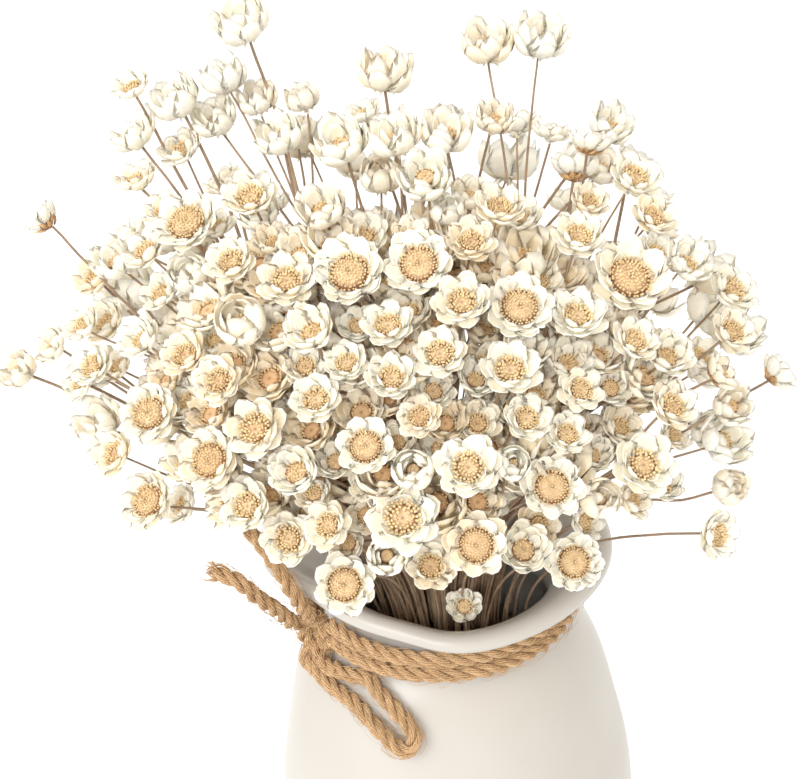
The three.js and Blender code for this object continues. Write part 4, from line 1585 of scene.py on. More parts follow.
@dataclass
class Twine:
    """The jute twine: two turns, a knot, two tails and a loop."""

    tree: NodeTree
    jute: Material
    diameter: float = 5.4
    ply_radius: float = 1.44
    yarn_radius: float = 0.88
    strand_radius: float = 0.36
    lay: float = 16.0
    yarn_lay: float = 9.0
    plies: int = 3
    yarns: int = 8
    step: float = 1.0
    sides: int = 4
    wrap_radius: float = 42.2
    wrap_top: float = 170.8
    wrap_pitch: float = 5.9
    knot_turn: float = math.radians(198)
    knot_half_turn: float = math.radians(11.5)
    knot_band: tuple[Pair, ...] = ((44.2, 172.6), (46.8, 171), (48.4, 165), (47.8, 159.5), (45.6, 156))
    knot_core: float = 45.5
    knot_low: float = 160.0
    knot_high: float = 168.0
    knot_overlap: float = 2.5
    tail_left: tuple[Triple, ...] = (
        (-49.8, -19, 172), (-54.4, -23.6, 181.4), (-59, -25.6, 188), (-63, -26, 193.5),
        (-68.4, -24, 195.9), (-73.4, -22, 196.9),
    )
    tail_back: tuple[Triple, ...] = (
        (-44.4, -22, 178.4), (-46.6, -24, 185), (-49.4, -22.8, 191.6), (-52.8, -20, 197),
        (-55.6, -17, 200.6), (-59, -14, 204), (-61.6, -11.6, 208),
    )
    tail_loop: tuple[Triple, ...] = (
        (-44.6, -20.4, 154.6), (-41.6, -24.4, 153.2), (-37.2, -30, 152.2), (-30.5, -37.3, 150.9),
        (-25.1, -43.6, 147.5), (-19.7, -48.5, 143.9), (-16.9, -50.4, 142.6), (-14, -51, 143.2),
        (-12.6, -50, 146), (-13.7, -48, 149), (-17.4, -44.5, 152.9), (-22.2, -39.8, 156.5),
        (-26.7, -34.6, 159.6), (-31.6, -31.6, 158.4), (-37.4, -27, 157.8),
    )
    # How far each short rope swings aside, its heights at the start and the end, and its radius
    knot_wraps: tuple[tuple[float, ...], ...] = (
        (8.5, 0, 6, 43.6), (8.5, -6.5, -1, 43.6), (5.5, 5.5, -6, 45.0),
    )
    knot_wraps_below: float = 4.0
    knot_wrap_dip: float = 1.2
    hairs_per_mm: float = 2.2
    hair_radius: float = 0.075
    hair_sway: Pair = (0.6, 1.4)
    hair_length: Pair = (2.5, 9.0)
    hair_swing: float = 0.7
    hair_reach: float = 2.2
    hair_least: float = 0.4
    hair_arch: Pair = (1.6, 2.4)
    hair_root: float = 0.5
    hair_points: int = 7
    fray: float = 7.0
    frayed_apart: Pair = (0.1, 0.9)
    frayed_shorter: float = 3.5
    frayed_thinner: float = 0.45
    ply_shade: float = 0.3
    yarn_shade: float = 0.7
    steep: float = 0.9
    seed: int = 7
    turn_seed: int = 17
    knot_seed: int = 27

    def frames(self, path: Array) -> tuple[Array, Array]:
        """Returns two directions square to a path at each of its points, carried along without twist.

        Args:
            path: the points.

        Returns:
            The two directions at each point.
        """
        ahead = np.gradient(path, axis=0)
        ahead /= np.linalg.norm(ahead, axis=1)[:, None]
        first = [square_to(ahead[0], UP if abs(ahead[0][2]) < self.steep else np.array([1.0, 0, 0]))[0]]
        for direction in ahead[1:]:
            first.append(square_to(direction, first[-1])[0])
        first = np.array(first)
        return first, np.cross(ahead, first)

    def rope(self, strands: Strands, path: Array, frayed: tuple[bool, bool], draws: Draws) -> None:
        """Lays twisted strands and stray hairs along a path.

        Args:
            strands: where the lines are added.
            path: evenly spaced points.
            frayed: whether the first and the last end are frayed.
            draws: the run of random draws.
        """
        first, second = self.frames(path)
        along = np.linspace(0, path_length(path), len(path))
        length = along[-1]
        open_ends = np.zeros(len(path))
        if frayed[0]:
            open_ends += smoothstep(along, self.fray, 0)
        if frayed[1]:
            open_ends += smoothstep(along, length - self.fray, length)
        start = draws.draw() * TURN
        for ply in range(self.plies):
            turn = start + along / self.lay * TURN + ply / self.plies * TURN
            shade = self.ply_shade * draws.draw()
            for yarn in range(self.yarns + 1):
                reach = 0.0 if yarn == 0 else self.yarn_radius
                spin = turn - along / self.yarn_lay * TURN + yarn / self.yarns * TURN
                wander = 1 + open_ends * draws.between(*self.frayed_apart)
                across = (self.ply_radius * np.cos(turn) + reach * np.cos(spin)) * wander
                over = (self.ply_radius * np.sin(turn) + reach * np.sin(spin)) * wander
                line = path + first * across[:, None] + second * over[:, None]
                ends = len(line) - (int(draws.between(0, self.frayed_shorter)) if frayed[1] else 0)
                begins = int(draws.between(0, self.frayed_shorter)) if frayed[0] else 0
                thick = self.strand_radius * (1 - self.frayed_thinner * open_ends)
                tint = min(1.0, shade + self.yarn_shade * draws.draw())
                strands.add(line[begins:ends], thick[begins:ends], tint)
        for _ in range(int(length * self.hairs_per_mm)):
            self.hair(strands, path, first, second, draws)

    def hair(self, strands: Strands, path: Array, first: Array, second: Array, draws: Draws) -> None:
        """Adds one stray hair that leaves the rope and curls back towards it.

        Args:
            strands: where the line is added.
            path: the rope's points.
            first: a direction square to it at each.
            second: the other one.
            draws: the run of random draws.
        """
        start = draws.between(0, len(path) - 1)
        run = draws.between(*self.hair_length) / self.step * (1 if draws.draw() < 0.5 else -1)
        turn = draws.draw() * TURN
        swing = draws.between(-self.hair_swing, self.hair_swing)
        reach = draws.between(self.hair_least, 1) ** 2 * self.hair_reach
        arch = draws.between(*self.hair_arch)
        surface = self.diameter / 2 - self.hair_root
        line = []
        for share in np.linspace(0, 1, self.hair_points):
            at = min(max(start + run * share, 0), len(path) - 1)
            low, part = int(at), at % 1
            high = min(low + 1, len(path) - 1)
            angle = turn + swing * share**2
            outward = first[low] * math.cos(angle) + second[low] * math.sin(angle)
            rise = surface + reach * math.sin(share * arch)
            line.append(path[low] * (1 - part) + path[high] * part + outward * rise)
        strands.add(np.array(line), self.hair_radius * draws.between(*self.hair_sway), draws.draw())

    def grow(self, name: str, strands: Strands) -> Object:
        """Makes a piece of twine from its strands, which replaces the solid of its name.

        Args:
            name: the solid's name.
            strands: its lines.

        Returns:
            The piece.
        """
        piece = grown(name + "_laid", strands.mesh(name), self.tree, {
            "Sides": self.sides, "Wiggle": 0.0, "Wiggles per metre": 0.0, "Material": self.jute,
        })
        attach(piece, "root")
        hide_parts(name)
        return piece

    def around(self, radius: float, height: float, start: float, end: float) -> Array:
        """Returns a level arc round the vase's neck."""
        turns = np.linspace(start, end, max(2, int(abs(end - start) * radius / self.step)))
        return np.stack([radius * np.cos(turns), radius * np.sin(turns), np.full_like(turns, height)], axis=1)

    def cords(self) -> list[Object]:
        """Returns:
            The three pieces.
        """
        routes = {Tail.LEFT: self.tail_left, Tail.BACK: self.tail_back, Tail.LOOP: self.tail_loop}
        pieces = []
        for i, (tail, route) in enumerate(routes.items()):
            path = smooth_path(route, self.step)
            strands = Strands()
            self.rope(strands, path, (False, tail is not Tail.LOOP), Draws(self.seed + i))
            piece = self.grow(tail.value, strands)
            pieces.append(piece)
        return pieces

    def turns(self) -> list[Object]:
        """Makes the two turns round the neck.

        Returns:
            The two pieces.
        """
        pieces = []
        for i, name in enumerate(("twine_turn_upper", "twine_turn_lower")):
            start = self.knot_turn + self.knot_half_turn
            end = self.knot_turn - self.knot_half_turn + TURN
            path = self.around(self.wrap_radius, self.wrap_top - i * self.wrap_pitch, start, end)
            strands = Strands()
            self.rope(strands, path, (False, False), Draws(self.turn_seed + i))
            pieces.append(self.grow(name, strands))
        return pieces

    def knot(self) -> Object:
        """Makes the knot: a band over the ends of the turns, which run on beneath it.

        Returns:
            The piece.
        """
        out = np.array([math.cos(self.knot_turn), math.sin(self.knot_turn), 0])
        aside = np.array([-out[1], out[0], 0])
        band = [out * radius + UP * height for radius, height in self.knot_band]
        strands = Strands()
        draws = Draws(self.knot_seed)
        self.rope(strands, smooth_path(band, self.step), (False, False), draws)
        height = self.wrap_top - self.knot_wraps_below
        for swing, low, high, radius in self.knot_wraps:
            dipped = out * (radius - self.knot_wrap_dip)
            route = [
                dipped + aside * swing + UP * (height + low),
                out * radius + UP * (height + (low + high) / 2),
                dipped - aside * swing + UP * (height + high),
            ]
            self.rope(strands, smooth_path(route, self.step), (False, False), draws)
        for tail in (self.tail_left, self.tail_back, self.tail_loop, self.tail_loop[::-1]):
            start = np.array(tail[0], float)
            ahead = unit(np.array(tail[1]) - start)
            middle = out * self.knot_core + UP * min(max(start[2], self.knot_low), self.knot_high)
            route = [middle, start - ahead * self.knot_overlap, start + ahead * self.knot_overlap]
            self.rope(strands, smooth_path(route, self.step), (False, False), draws)
        return self.grow("twine_knot", strands)


# Vase

@dataclass
class Vase:
    """The glazed vase, turned on the wheel and pinched into a small mouth at the left."""

    outside: tuple[Pair, ...] = (
        (38, 0), (46.5, 10), (55, 31), (60.5, 62), (60, 93), (56, 116), (50.6, 139), (44.4, 152),
        (38.6, 161), (38.6, 173), (43, 176.2), (50.5, 179.2), (53.6, 182.4), (50.6, 185), (46.6, 184),
        (38, 177), (34.4, 168), (34.6, 158), (50, 131), (56, 92), (52, 36), (38, 8), (33, 6),
    )
    sides: int = 144
    step: float = 2.2
    lip_starts: float = 173.0
    lip_full: float = 179.2
    spout_turn: float = math.pi
    pinch_at: float = math.radians(50)
    pinch_width: float = math.radians(36)
    pinch_depth: float = 0.135
    spout_flare: float = 0.09
    spout_width: float = math.radians(14)
    heel_flare: float = 0.035
    heel_width: float = math.radians(30)

    def lip_factor(self, angle: Array) -> Array:
        """Returns how far the lip stands out, as a share of its radius, at each turn.

        Args:
            angle: the turns.

        Returns:
            The factors.
        """
        across = np.abs(np.arctan2(np.sin(angle - self.spout_turn), np.cos(angle - self.spout_turn)))
        pinch = self.pinch_depth * np.exp(-(((across - self.pinch_at) / self.pinch_width) ** 4))
        spout = self.spout_flare * np.exp(-((across / self.spout_width) ** 2))
        heel = self.heel_flare * np.exp(-(((math.pi - across) / self.heel_width) ** 2))
        return 1 - pinch + spout + heel

    def make(self, dress: Dress) -> Object:
        """Makes the vase, which replaces its solid.

        Args:
            dress: the materials.

        Returns:
            The piece.
        """
        route = smooth_path([(radius, 0, height) for radius, height in self.outside], self.step)
        profile = np.maximum(route[:, [0, 2]], 0)
        middle = [(share * profile[0][0], 0) for share in (0, 0.5)]
        floor = [(share * profile[-1][0], profile[-1][1]) for share in (0.5, 0)]
        shape = lathe(np.vstack([middle, profile, floor]), self.sides)
        points = shape.points
        share = smoothstep(points[:, 2], self.lip_starts, self.lip_full)
        factor = 1 + share * (self.lip_factor(np.arctan2(points[:, 1], points[:, 0])) - 1)
        points[:, :2] *= factor[:, None]
        shape.points = points * MM
        piece = link("vase_glazed", shape.mesh("vase_glazed", dress.glaze))
        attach(piece, "root")
        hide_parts("vase")
        return piece


# Bouquet

@dataclass(frozen=True)
class Row:
    """One ring of petals, in shares of the bloom's width: radius and height from base to tip."""

    count: int
    base: Pair
    belly: Pair
    tip: Pair
    half_width: float
    turned: float = 0.0
    cup: float = 0.42


@dataclass(frozen=True)
class Head:
    """How a bloom's petals, disc and husk are set, in shares of its width."""

    rows: tuple[Row, ...]
    disc: Triple
    rings: tuple[tuple[int, float, float, float], ...]
    floret: Pair = (0.045, 0.08)
    bracts: Row = Row(7, (0.04, -0.29), (0.13, -0.27), (0.19, -0.18), 0.05)
    skirt: Row | None = None
    husk: str = "petals"
    nod: float = 0.0
    swell: float = 1.0


HEADS = {
    Form.OPEN: Head(
        rows=(
            Row(7, (0.1, -0.19), (0.44, -0.2), (0.51, 0.08), 0.2),
            Row(6, (0.1, -0.16), (0.39, -0.16), (0.43, 0.18), 0.2, 0.5),
            Row(5, (0.14, -0.13), (0.32, -0.12), (0.28, 0.13), 0.14, 0.2),
        ),
        disc=(0.19, -0.08, -0.06),
        rings=(
            (9, 0.085, -0.055, 0.05), (16, 0.125, -0.06, 0.1), (21, 0.165, -0.065, 0.35),
            (23, 0.2, -0.075, 0.6),
        ),
    ),
    Form.WIDE: Head(
        rows=(
            Row(8, (0.14, -0.17), (0.44, -0.19), (0.51, 0.02), 0.17),
            Row(7, (0.14, -0.14), (0.4, -0.14), (0.45, 0.12), 0.18, 0.5),
            Row(6, (0.2, -0.12), (0.34, -0.12), (0.32, 0.07), 0.11, 0.2),
        ),
        disc=(0.25, -0.08, 0.0),
        rings=(
            (1, 0.0, 0.0, 0.0), (7, 0.045, 0.0, 0.05), (14, 0.085, -0.01, 0.1), (20, 0.125, -0.02, 0.2),
            (26, 0.165, -0.035, 0.3), (31, 0.2, -0.05, 0.45), (34, 0.235, -0.065, 0.6),
        ),
        floret=(0.03, 0.065),
    ),
    Form.PLAIN: Head(
        rows=(
            Row(7, (0.1, -0.19), (0.44, -0.2), (0.5, 0.1), 0.2),
            Row(6, (0.1, -0.16), (0.39, -0.16), (0.41, 0.2), 0.2, 0.5),
            Row(4, (0.14, -0.12), (0.31, -0.12), (0.27, 0.13), 0.14, 0.2),
        ),
        disc=(0.19, -0.08, -0.05),
        rings=((1, 0.0, -0.04, 0.0), (9, 0.07, -0.05, 0.1), (17, 0.13, -0.06, 0.25), (22, 0.18, -0.07, 0.5)),
    ),
    Form.DEEP: Head(
        rows=(
            Row(7, (0.1, -0.24), (0.47, -0.22), (0.49, 0.16), 0.2),
            Row(6, (0.1, -0.21), (0.42, -0.19), (0.41, 0.24), 0.2, 0.5),
            Row(5, (0.1, -0.18), (0.34, -0.17), (0.29, 0.15), 0.15, 0.2),
        ),
        disc=(0.2, -0.14, -0.1),
        rings=(
            (1, 0.0, -0.1, 0.0), (7, 0.055, -0.1, 0.1), (12, 0.105, -0.12, 0.15), (17, 0.155, -0.13, 0.25),
        ),
        floret=(0.04, 0.1),
    ),
    Form.CUP: Head(
        rows=(
            Row(6, (0.08, -0.27), (0.56, -0.3), (0.49, 0.28), 0.25),
            Row(5, (0.08, -0.25), (0.5, -0.26), (0.4, 0.37), 0.26, 0.5),
            Row(4, (0.08, -0.2), (0.36, -0.16), (0.24, 0.3), 0.18, 0.2),
        ),
        disc=(0.18, -0.06, 0.0),
        rings=((1, 0.0, -0.01, 0.0), (6, 0.07, -0.02, 0.1), (11, 0.14, -0.04, 0.3)),
        skirt=Row(7, (0.06, -0.26), (0.17, -0.3), (0.23, -0.37), 0.05),
        nod=0.35,
        swell=1.12,
    ),
    Form.BUD: Head(
        rows=(
            Row(6, (0.08, -0.26), (0.6, -0.26), (0.3, 0.33), 0.28),
            Row(5, (0.08, -0.22), (0.5, -0.18), (0.2, 0.36), 0.24, 0.5),
            Row(3, (0.08, -0.2), (0.34, -0.12), (0.08, 0.26), 0.15, 0.2),
        ),
        disc=(0.14, -0.08, 0.0),
        rings=((1, 0.0, 0.0, 0.0), (6, 0.06, -0.02, 0.1)),
        skirt=Row(7, (0.06, -0.26), (0.16, -0.31), (0.22, -0.37), 0.05),
        nod=0.35,
        swell=1.06,
    ),
    Form.BACK: Head(
        rows=(
            Row(7, (0.08, -0.21), (0.42, -0.22), (0.48, 0.13), 0.21),
            Row(6, (0.08, -0.17), (0.37, -0.16), (0.42, 0.18), 0.21, 0.5),
        ),
        disc=(0.2, -0.06, 0.0),
        rings=((1, 0.0, -0.01, 0.0), (7, 0.08, -0.02, 0.1), (13, 0.16, -0.04, 0.35)),
        bracts=Row(9, (0.05, -0.29), (0.19, -0.3), (0.31, -0.14), 0.08),
        husk="husks",
    ),
}


@dataclass
class Petals:
    """Makes petal shapes, each a thin closed shell that bends from its base to a rounded tip."""

    rows: int = 6
    columns: int = 5
    thickness: float = 0.012
    round_tip: float = 0.4
    ragged: float = 0.07
    lift: float = 0.03
    tip_length: Pair = (0.94, 1.0)
    ripple: Pair = (0.004, 0.016)
    ripple_waves: Pair = (4.0, 2.4)
    skew: float = 0.12
    fold: float = 0.006
    foot_width: float = 0.35
    widening: float = 1.7
    probe: float = 0.02
    variants: int = 4

    def shape(self, row: Row, draws: Draws) -> Shape:
        """Returns one petal or bract of a row.

        Args:
            row: the row's sizes.
            draws: the run of random draws that makes each petal a little different.

        Returns:
            The petal, in shares of the bloom's width, with its middle line in the xz plane.
        """
        lift = draws.between(-self.lift, self.lift)
        tip = (row.tip[0] * draws.between(*self.tip_length), row.tip[1] + lift)
        bend = (row.base, (row.belly[0], row.belly[1] + lift / 2), tip)
        ripple = draws.between(*self.ripple)
        phase = draws.draw() * TURN
        skew = draws.between(-self.skew, self.skew)
        ragged = [draws.between(1 - self.ragged, 1) for _ in range(self.columns)]
        points = {}
        coords = {}
        for i in range(self.rows):
            for j in range(self.columns):
                side = j / (self.columns - 1) * 2 - 1
                along = i / (self.rows - 1) * (1 - self.round_tip * abs(side) ** 3) * ragged[j]
                centre = bezier(bend, np.array(along))
                before, after = bezier(bend, np.array([along - self.probe, min(1, along + self.probe)]))
                ahead = unit(after - before)
                inward = np.array([-ahead[1], ahead[0]])
                widened = math.sin(min(1, along * self.widening) * math.pi / 2)
                across = side * row.half_width * (self.foot_width + (1 - self.foot_width) * widened)
                raise_edge = row.cup * across * across / row.half_width
                wave = along * self.ripple_waves[0] + side * self.ripple_waves[1] + phase
                raise_edge += ripple * math.sin(wave) * along
                raise_edge -= self.fold * math.cos(side * TURN) * along
                spot = centre + inward * raise_edge
                place = np.array([spot[0], across + skew * along * row.half_width, spot[1]])
                points[i, j] = (place, np.array([inward[0], 0, inward[1]]) * self.thickness / 2)
                coords[i, j] = (side / 2 + 0.5, i / (self.rows - 1))
        return self.shell(points, coords)

    def shell(self, points: dict, coords: dict) -> Shape:
        """Returns a closed shell with a front and a back that share their border.

        Args:
            points: the middle and half the thickness, by row and column.
            coords: the places across and along, likewise.

        Returns:
            The shell.
        """
        front, back, places, uv = {}, {}, [], []
        for key, (place, half) in points.items():
            i, j = key
            border = i in (0, self.rows - 1) or j in (0, self.columns - 1)
            front[key] = len(places)
            places.append(place if border else place + half)
            uv.append(coords[key])
            back[key] = front[key]
            if not border:
                back[key] = len(places)
                places.append(place - half)
                uv.append(coords[key])
        faces = []
        for i in range(self.rows - 1):
            for j in range(self.columns - 1):
                corners = [(i, j), (i, j + 1), (i + 1, j + 1), (i + 1, j)]
                faces.append(tuple(front[c] for c in reversed(corners)))
                faces.append(tuple(back[c] for c in corners))
        return Shape(np.array(places), faces, np.array(uv))


@dataclass
class Bouquet:
    """The dried daisies: petals, florets, discs, husks and stems, spray by spray."""

    view: Viewpoint
    rule: StemRule
    trees: tuple[NodeTree, NodeTree]
    dress: Dress
    fullness: float = 1.15
    stem_radius: float = 0.45
    fan: float = 0.45
    fan_steps: int = 8
    stem_step: float = 4.0
    stem_wiggle: float = 1.6
    petal_sway: float = 0.06
    floret_sway: float = 0.25
    stem_sides: int = 5
    stem_sway: Pair = (0.85, 1.3)
    stem_taper: Pair = (1.2, 0.85)
    wiggles: float = 45.0
    size_sway: float = 0.04
    level: Triple = (1.0, 0.3, 0.0)
    age: Pair = (0.0, 0.7)
    # Blooms deep in the crown get browner colours: partly their age, partly painted shade.
    deep_age_and_shade: Pair = (0.5, 1.0)
    petal_stray: float = 0.13
    petal_size: Pair = (0.94, 1.03)
    petal_loose: float = 0.09
    skirt_loose: float = 0.25
    bract_loose: float = 0.12
    petal_tint: Pair = (0.7, 0.3)
    floret_stray: float = 0.3
    floret_length: Pair = (0.75, 1.15)
    floret_tint: Pair = (0.6, 0.4)
    floret_profile: tuple[Pair, ...] = ((0, 0), (0.5, 0.3), (0.42, 0.75), (0, 1.0))
    plain_profile: tuple[Pair, ...] = ((0, 0), (0.5, 0.3), (0, 1.0))
    plain_rings: int = 2
    calyx_profile: tuple[Pair, ...] = (
        (0, -0.31), (0.045, -0.3), (0.1, -0.24), (0.15, -0.19), (0.1, -0.14), (0, -0.13),
    )
    # Radius, share of the way from the edge up to the middle, and height added
    disc_profile: tuple[Triple, ...] = (
        (0, 0, -0.05), (0.7, 0, -0.04), (1, 0, 0), (0.75, 0.5, 0), (0.4, 1, 0), (0.12, 1, 0), (0, 1, -0.02),
    )
    sides: dict[str, int] = field(default_factory=lambda: {"floret": 5, "plain": 4, "calyx": 8, "disc": 12})
    seed: int = 11

    def __post_init__(self) -> None:
        """Makes the kits of petals, florets, discs and husks."""
        self.draws = Draws(self.seed)
        self.petals = Petals()
        self.plain_petals = Petals(rows=5, columns=4)
        self.bracts = Petals(rows=4, columns=3, round_tip=0.5)
        self.kits = {word: Kit(word) for word in ("petals", "florets", "discs", "husks")}
        self.row_numbers = {}
        self.plain_numbers = {}
        self.disc_numbers = {}
        for form, head in HEADS.items():
            for row in head.rows:
                self.row_numbers[row] = self.variants("petals", self.petals, row)
                self.plain_numbers[row] = self.variants("petals", self.plain_petals, row)
            for row in (head.skirt, head.bracts):
                if row:
                    self.row_numbers[row] = self.variants(head.husk, self.bracts, row)
            self.disc_numbers[form] = self.kits["discs"].add(self.disc(head))
        floret = lathe(np.array(self.floret_profile), self.sides["floret"])
        plain_floret = lathe(np.array(self.plain_profile), self.sides["plain"])
        self.floret = self.kits["florets"].add(floret)
        self.plain_floret = self.kits["florets"].add(plain_floret)
        calyx = lathe(np.array(self.calyx_profile), self.sides["calyx"])
        self.calyx = {word: self.kits[word].add(calyx) for word in ("petals", "husks")}

    def variants(self, word: str, maker: Petals, row: Row) -> list[int]:
        """Adds a few variants of a row's petal to a kit and returns their numbers."""
        return [self.kits[word].add(maker.shape(row, self.draws)) for _ in range(maker.variants)]

    def disc(self, head: Head) -> Shape:
        """Returns the low dome that the florets stand on.

        Args:
            head: the head that it belongs to.

        Returns:
            The disc.
        """
        radius, edge, middle = head.disc
        rise = middle - edge
        profile = [(radius * out, edge + rise * up + more) for out, up, more in self.disc_profile]
        return lathe(np.array(profile), self.sides["disc"])

    def facing(self, bloom: Bloom) -> Array:
        """Returns where a bloom looks, with the cups and buds nodding a little to the viewer."""
        nod = 0.0 if bloom.line is None else HEADS[bloom.form].nod
        return unit(bloom.facing + unit(self.view.eye - bloom.place) * nod)

    def head(self, bloom: Bloom, age: float, plain: bool, points: dict[str, Scatter]) -> None:
        """Sets a bloom's shapes on its place.

        Args:
            bloom: the bloom.
            age: how far its colours have turned, from 0 to 1; for blooms deep in the crown it is partly
                painted shade.
            plain: whether it stands deep in the crown, where fewer florets do.
            points: where the shapes are added, by the name of their kit.
        """
        draws = self.draws
        head = HEADS[bloom.form]
        size = bloom.width * self.fullness * head.swell
        facing = self.facing(bloom)
        first, second = square_to(facing, np.array(self.level))

        def axes_at(turn: float) -> Array:
            """Returns the bloom's axes turned about its facing."""
            out = first * math.cos(turn) + second * math.sin(turn)
            return np.array([out, np.cross(facing, out), facing])

        def set_row(word: str, row: Row, numbers: list[int], loose: float) -> None:
            """Sets one ring of petals or bracts.

            Args:
                row: the ring's sizes.
                numbers: the shapes to pick from.
                loose: how far each may lean.
            """
            spread = draws.between(-loose, loose)
            for i in range(row.count):
                stray = draws.between(-self.petal_stray, self.petal_stray)
                axes = axes_at(bloom.spin + (i + row.turned + stray) / row.count * TURN)
                lean = spread + draws.between(-loose, loose)
                out = axes[0] * math.cos(lean) + axes[2] * math.sin(lean)
                axes = np.array([out, axes[1], np.cross(out, axes[1])])
                number = numbers[int(draws.draw() * len(numbers))]
                tint = min(1.0, self.petal_tint[0] * age + self.petal_tint[1] * draws.draw())
                scale = np.full(3, size * draws.between(*self.petal_size))
                points[word].add(bloom.place, axes, scale, number, tint)

        for row in head.rows:
            set_row("petals", row, (self.plain_numbers if plain else self.row_numbers)[row], self.petal_loose)
        if head.skirt:
            set_row("petals", head.skirt, self.row_numbers[head.skirt], self.skirt_loose)
        set_row(head.husk, head.bracts, self.row_numbers[head.bracts], self.bract_loose)
        thick, length = (share * size for share in head.floret)
        floret = self.plain_floret if plain else self.floret
        for count, radius, height, lean in head.rings[-self.plain_rings:] if plain else head.rings:
            for i in range(count):
                stray = draws.between(-self.floret_stray, self.floret_stray)
                axes = axes_at(bloom.spin + (i + stray) / count * TURN)
                up = unit(axes[2] + axes[0] * lean)
                place = bloom.place + (axes[0] * radius + axes[2] * height) * size
                scale = np.array([thick, thick, length * draws.between(*self.floret_length)])
                turned_up = np.array([np.cross(axes[1], up), axes[1], up])
                tint = self.floret_tint[0] * age + self.floret_tint[1] * draws.draw()
                points["florets"].add(place, turned_up, scale, floret, tint)
        straight = axes_at(bloom.spin)
        points["discs"].add(bloom.place, straight, np.full(3, size), self.disc_numbers[bloom.form], age)
        points[head.husk].add(bloom.place, straight, np.full(3, size), self.calyx[head.husk], age / 2)

    def foot_of(self, bloom: Bloom) -> Array:
        """Returns where a bloom's stem meets the head at its full size."""
        size = bloom.width * self.fullness * HEADS[bloom.form].swell
        return bloom.place - self.facing(bloom) * Bloom.BASE_DEPTH * size

    def stalks(self, spray: Spray, strands: Strands) -> None:
        """Adds a thin stem for each bloom of a spray.

        Args:
            spray: the spray.
            strands: where the lines are added.
        """
        for k, bloom in enumerate(spray.blooms):
            below = self.fanned(bloom, spray) if bloom.run and k % 2 == 0 else [bloom.fork]
            self.stem(strands, [*below, bloom.middle, self.foot_of(bloom)])
        for bloom in spray.deep_blooms:
            self.stem(strands, [*self.rule.stem(bloom.along, bloom.run)[:-1], self.foot_of(bloom)])

    def fanned(self, bloom: Bloom, spray: Spray) -> Array:
        """Returns a stem's way up to its fork, between the spray's stem and one of the bloom's own.

        Args:
            bloom: the bloom.
            spray: its spray.

        Returns:
            The points.
        """
        shared = np.array([p for p in spray.stem if p[2] < bloom.fork[2] - 1.0] + [bloom.fork])
        step = path_length(shared) / self.fan_steps
        shared = even_path(shared, step)
        own = even_path(self.rule.stem(bloom.along, bloom.run), step)[:len(shared)]
        shared = shared[:len(own)]
        fan = self.fan * (1 - np.linspace(0, 1, len(own))[:, None] ** 3)
        return shared * (1 - fan) + own * fan

    def stem(self, strands: Strands, route: list[Array]) -> None:
        """Adds one stem that thins towards its head.

        Args:
            strands: where the line is added.
            route: the points that it passes.
        """
        path = smooth_path(route, self.stem_step)
        thick = self.stem_radius * self.draws.between(*self.stem_sway)
        thick = thick * np.linspace(*self.stem_taper, len(path))
        strands.add(path, thick, self.draws.draw())

    def make_spray(self, name: str, spray: Spray) -> Object:
        """Makes one spray as a single piece, which replaces the solid of its name.

        Args:
            name: the solid's name.
            spray: its blooms and stem.

        Returns:
            The piece.
        """
        points = {word: Scatter() for word in self.kits}
        strands = Strands()
        for bloom in spray.blooms:
            self.head(bloom, self.draws.between(*self.age), False, points)
        for bloom in spray.deep_blooms:
            # Deep blooms are browned further: partly age, partly painted shade deep in the crown.
            self.head(bloom, self.draws.between(*self.deep_age_and_shade), True, points)
        self.stalks(spray, strands)
        dress = self.dress
        scatter, strand = self.trees
        materials = {"petals": dress.petal, "florets": dress.floret, "discs": dress.disc, "husks": dress.husk}
        sways = {"petals": self.petal_sway, "florets": self.floret_sway, "discs": 0.0, "husks": 0.0}
        parts = []
        for i, (word, kit) in enumerate(self.kits.items()):
            parts.append(grown(f"{name}_{word}", points[word].mesh(f"{name}_{word}"), scatter, {
                "Shapes": kit.collection, "Turn sway": sways[word], "Size sway": self.size_sway,
                "Seed": self.seed + i, "Material": materials[word],
            }))
        parts.append(grown(f"{name}_stems", strands.mesh(f"{name}_stems"), strand, {
            "Sides": self.stem_sides, "Wiggle": self.stem_wiggle * MM, "Wiggles per metre": self.wiggles,
            "Material": dress.stem,
        }))
        piece = joined(f"{name}_dried", parts)
        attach(piece, "root")
        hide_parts(name)
        return piece

    def clear(self) -> None:
        """Removes the kits."""
        for kit in self.kits.values():
            kit.clear()


@dataclass
class MouthBloom:
    """The small bloom that stands low in the vase's mouth."""

    pixel: Pair = (464, 606)
    width: float = 11.0
    height: float = 181.0
    spin: float = 0.4
    lean: Triple = (4, 1, 0)
    sag: Triple = (0, -1.5, 0)
    looks_up: float = 0.4
    bow: float = 0.3

    def spray(self, view: Viewpoint, rule: StemRule) -> Spray:
        """Returns the bloom on a stem of its own.

        Args:
            view: the photograph's viewpoint.
            rule: how a stem stands.

        Returns:
            The spray.
        """
        line = view.sight_line(self.pixel)
        place = view.eye + line * (self.height - view.eye[2]) / line[2]
        foot = np.array([place[0], place[1], rule.foot]) + self.lean
        facing = unit(unit(view.eye - place) + UP * self.looks_up)
        bloom = Bloom(place, self.width, Form.PLAIN, line, UP, 0.0, facing, self.spin, foot)
        bloom.middle = bloom.base * (1 - self.bow) + foot * self.bow + self.sag
        bloom.along = unit(bloom.base - foot)
        return Spray([bloom], np.array([foot, bloom.middle]))


# Studio

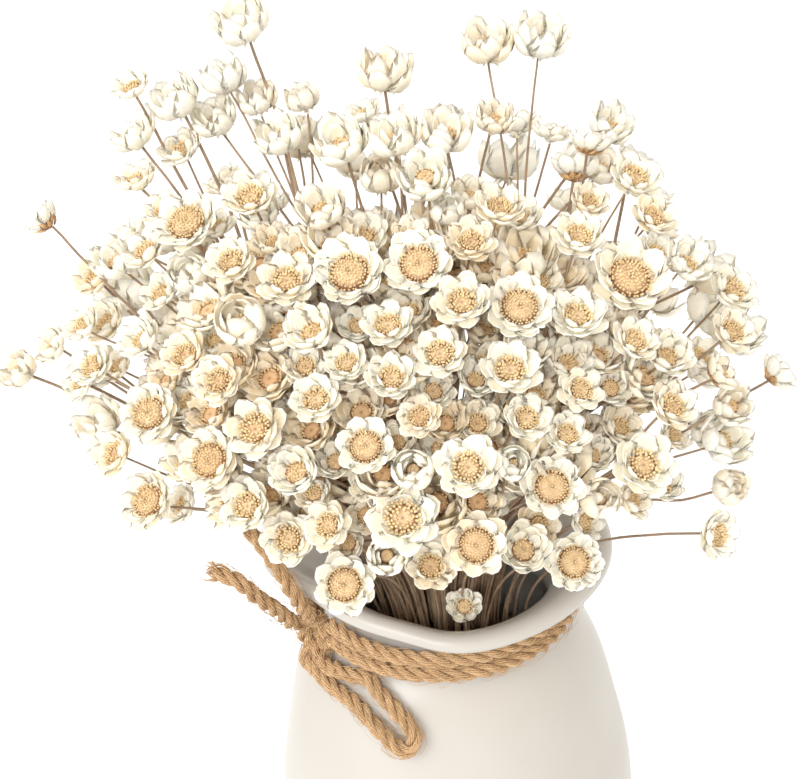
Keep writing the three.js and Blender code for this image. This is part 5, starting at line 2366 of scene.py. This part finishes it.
@dataclass
class Studio:
    """The floor, a broad soft key light from the left, a fill from the viewer's side and a pale sky."""

    floor_size: float = 6.0
    key: float = 1.75
    key_from: Triple = (-0.85, -0.75, 1.0)
    key_softness: float = math.radians(35)
    sky_colour: Colour = (1.0, 0.95, 0.86, 1)
    panel: float = 1.0
    panel_size: float = 0.5
    panel_at: Triple = (-0.75, -0.7, 0.5)
    fill: float = 1.5
    fill_from: Triple = (-0.1, -1.0, 0.75)
    fill_softness: float = math.radians(12)
    sky: float = 1.15
    gamma: float = 1.2
    aim_at: Triple = (0.0, 0.0, 0.2)

    def aim(self, light: Object, place: Vector) -> None:
        """Puts a light at a place and turns it to the bouquet.

        Args:
            light: the light.
            place: the place.
        """
        bpy.context.scene.collection.objects.link(light)
        light.location = place
        light.rotation_euler = (Vector(self.aim_at) - place).to_track_quat("-Z", "Y").to_euler()

    def make(self, dress: Dress) -> None:
        """Makes the floor, the lights and the sky.

        Args:
            dress: the materials.
        """
        half = self.floor_size / 2
        corners = [(-half, -half, 0), (half, -half, 0), (half, half, 0), (-half, half, 0)]
        shape = Shape(np.array(corners), [(0, 1, 2, 3)], np.array([(0, 0), (1, 0), (1, 1), (0, 1)]))
        floor = link("studio_floor", shape.mesh("studio_floor", dress.floor))
        for name, energy, softness, side in (
            ("key_light", self.key, self.key_softness, self.key_from),
            ("fill_light", self.fill, self.fill_softness, self.fill_from),
        ):
            sun = bpy.data.lights.new(name, "SUN")
            sun.energy = energy
            sun.angle = softness
            light = bpy.data.objects.new(name, sun)
            light.visible_glossy = name == "key_light"
            self.aim(light, Vector(side) * 2)
        panel = bpy.data.lights.new("panel_light", "AREA")
        panel.energy = self.panel
        panel.size = self.panel_size
        self.aim(bpy.data.objects.new("panel_light", panel), Vector(self.panel_at))
        world = bpy.data.worlds.new("studio_sky")
        bpy.context.scene.world = world
        world.use_nodes = True
        world.node_tree.nodes["Background"].inputs["Color"].default_value = self.sky_colour
        world.node_tree.nodes["Background"].inputs["Strength"].default_value = self.sky
        bpy.context.scene.view_settings.view_transform = "Standard"
        bpy.context.scene.view_settings.gamma = self.gamma


def main() -> None:
    """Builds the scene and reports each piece."""
    logging.basicConfig(level=logging.INFO, format="%(name)s: %(message)s")
    view = Viewpoint()
    view.camera()
    dress = Dress.make()
    strand = strand_tree()
    twine = Twine(strand, dress.jute)
    made = twine.cords()
    made += twine.turns()
    made.append(twine.knot())
    made.append(Vase().make(dress))
    layout = Layout(view)
    sprays = {f"spray_{i + 1:02d}": spray for i, spray in enumerate(layout.make())}
    sprays["spray_mouth"] = MouthBloom().spray(view, layout.rule)
    bouquet = Bouquet(view, layout.rule, (scatter_tree(), strand), dress)
    for name, spray in sprays.items():
        made.append(bouquet.make_spray(name, spray))
    bouquet.clear()
    Studio().make(dress)
    LOG.info("%d blooms deep in the crown", sum(len(spray.deep_blooms) for spray in sprays.values()))
    for piece in made:
        triangles = sum(len(face.vertices) - 2 for face in piece.data.polygons)
        LOG.info("%s: %d triangles", piece.name, triangles)


if __name__ == "__main__":
    main()
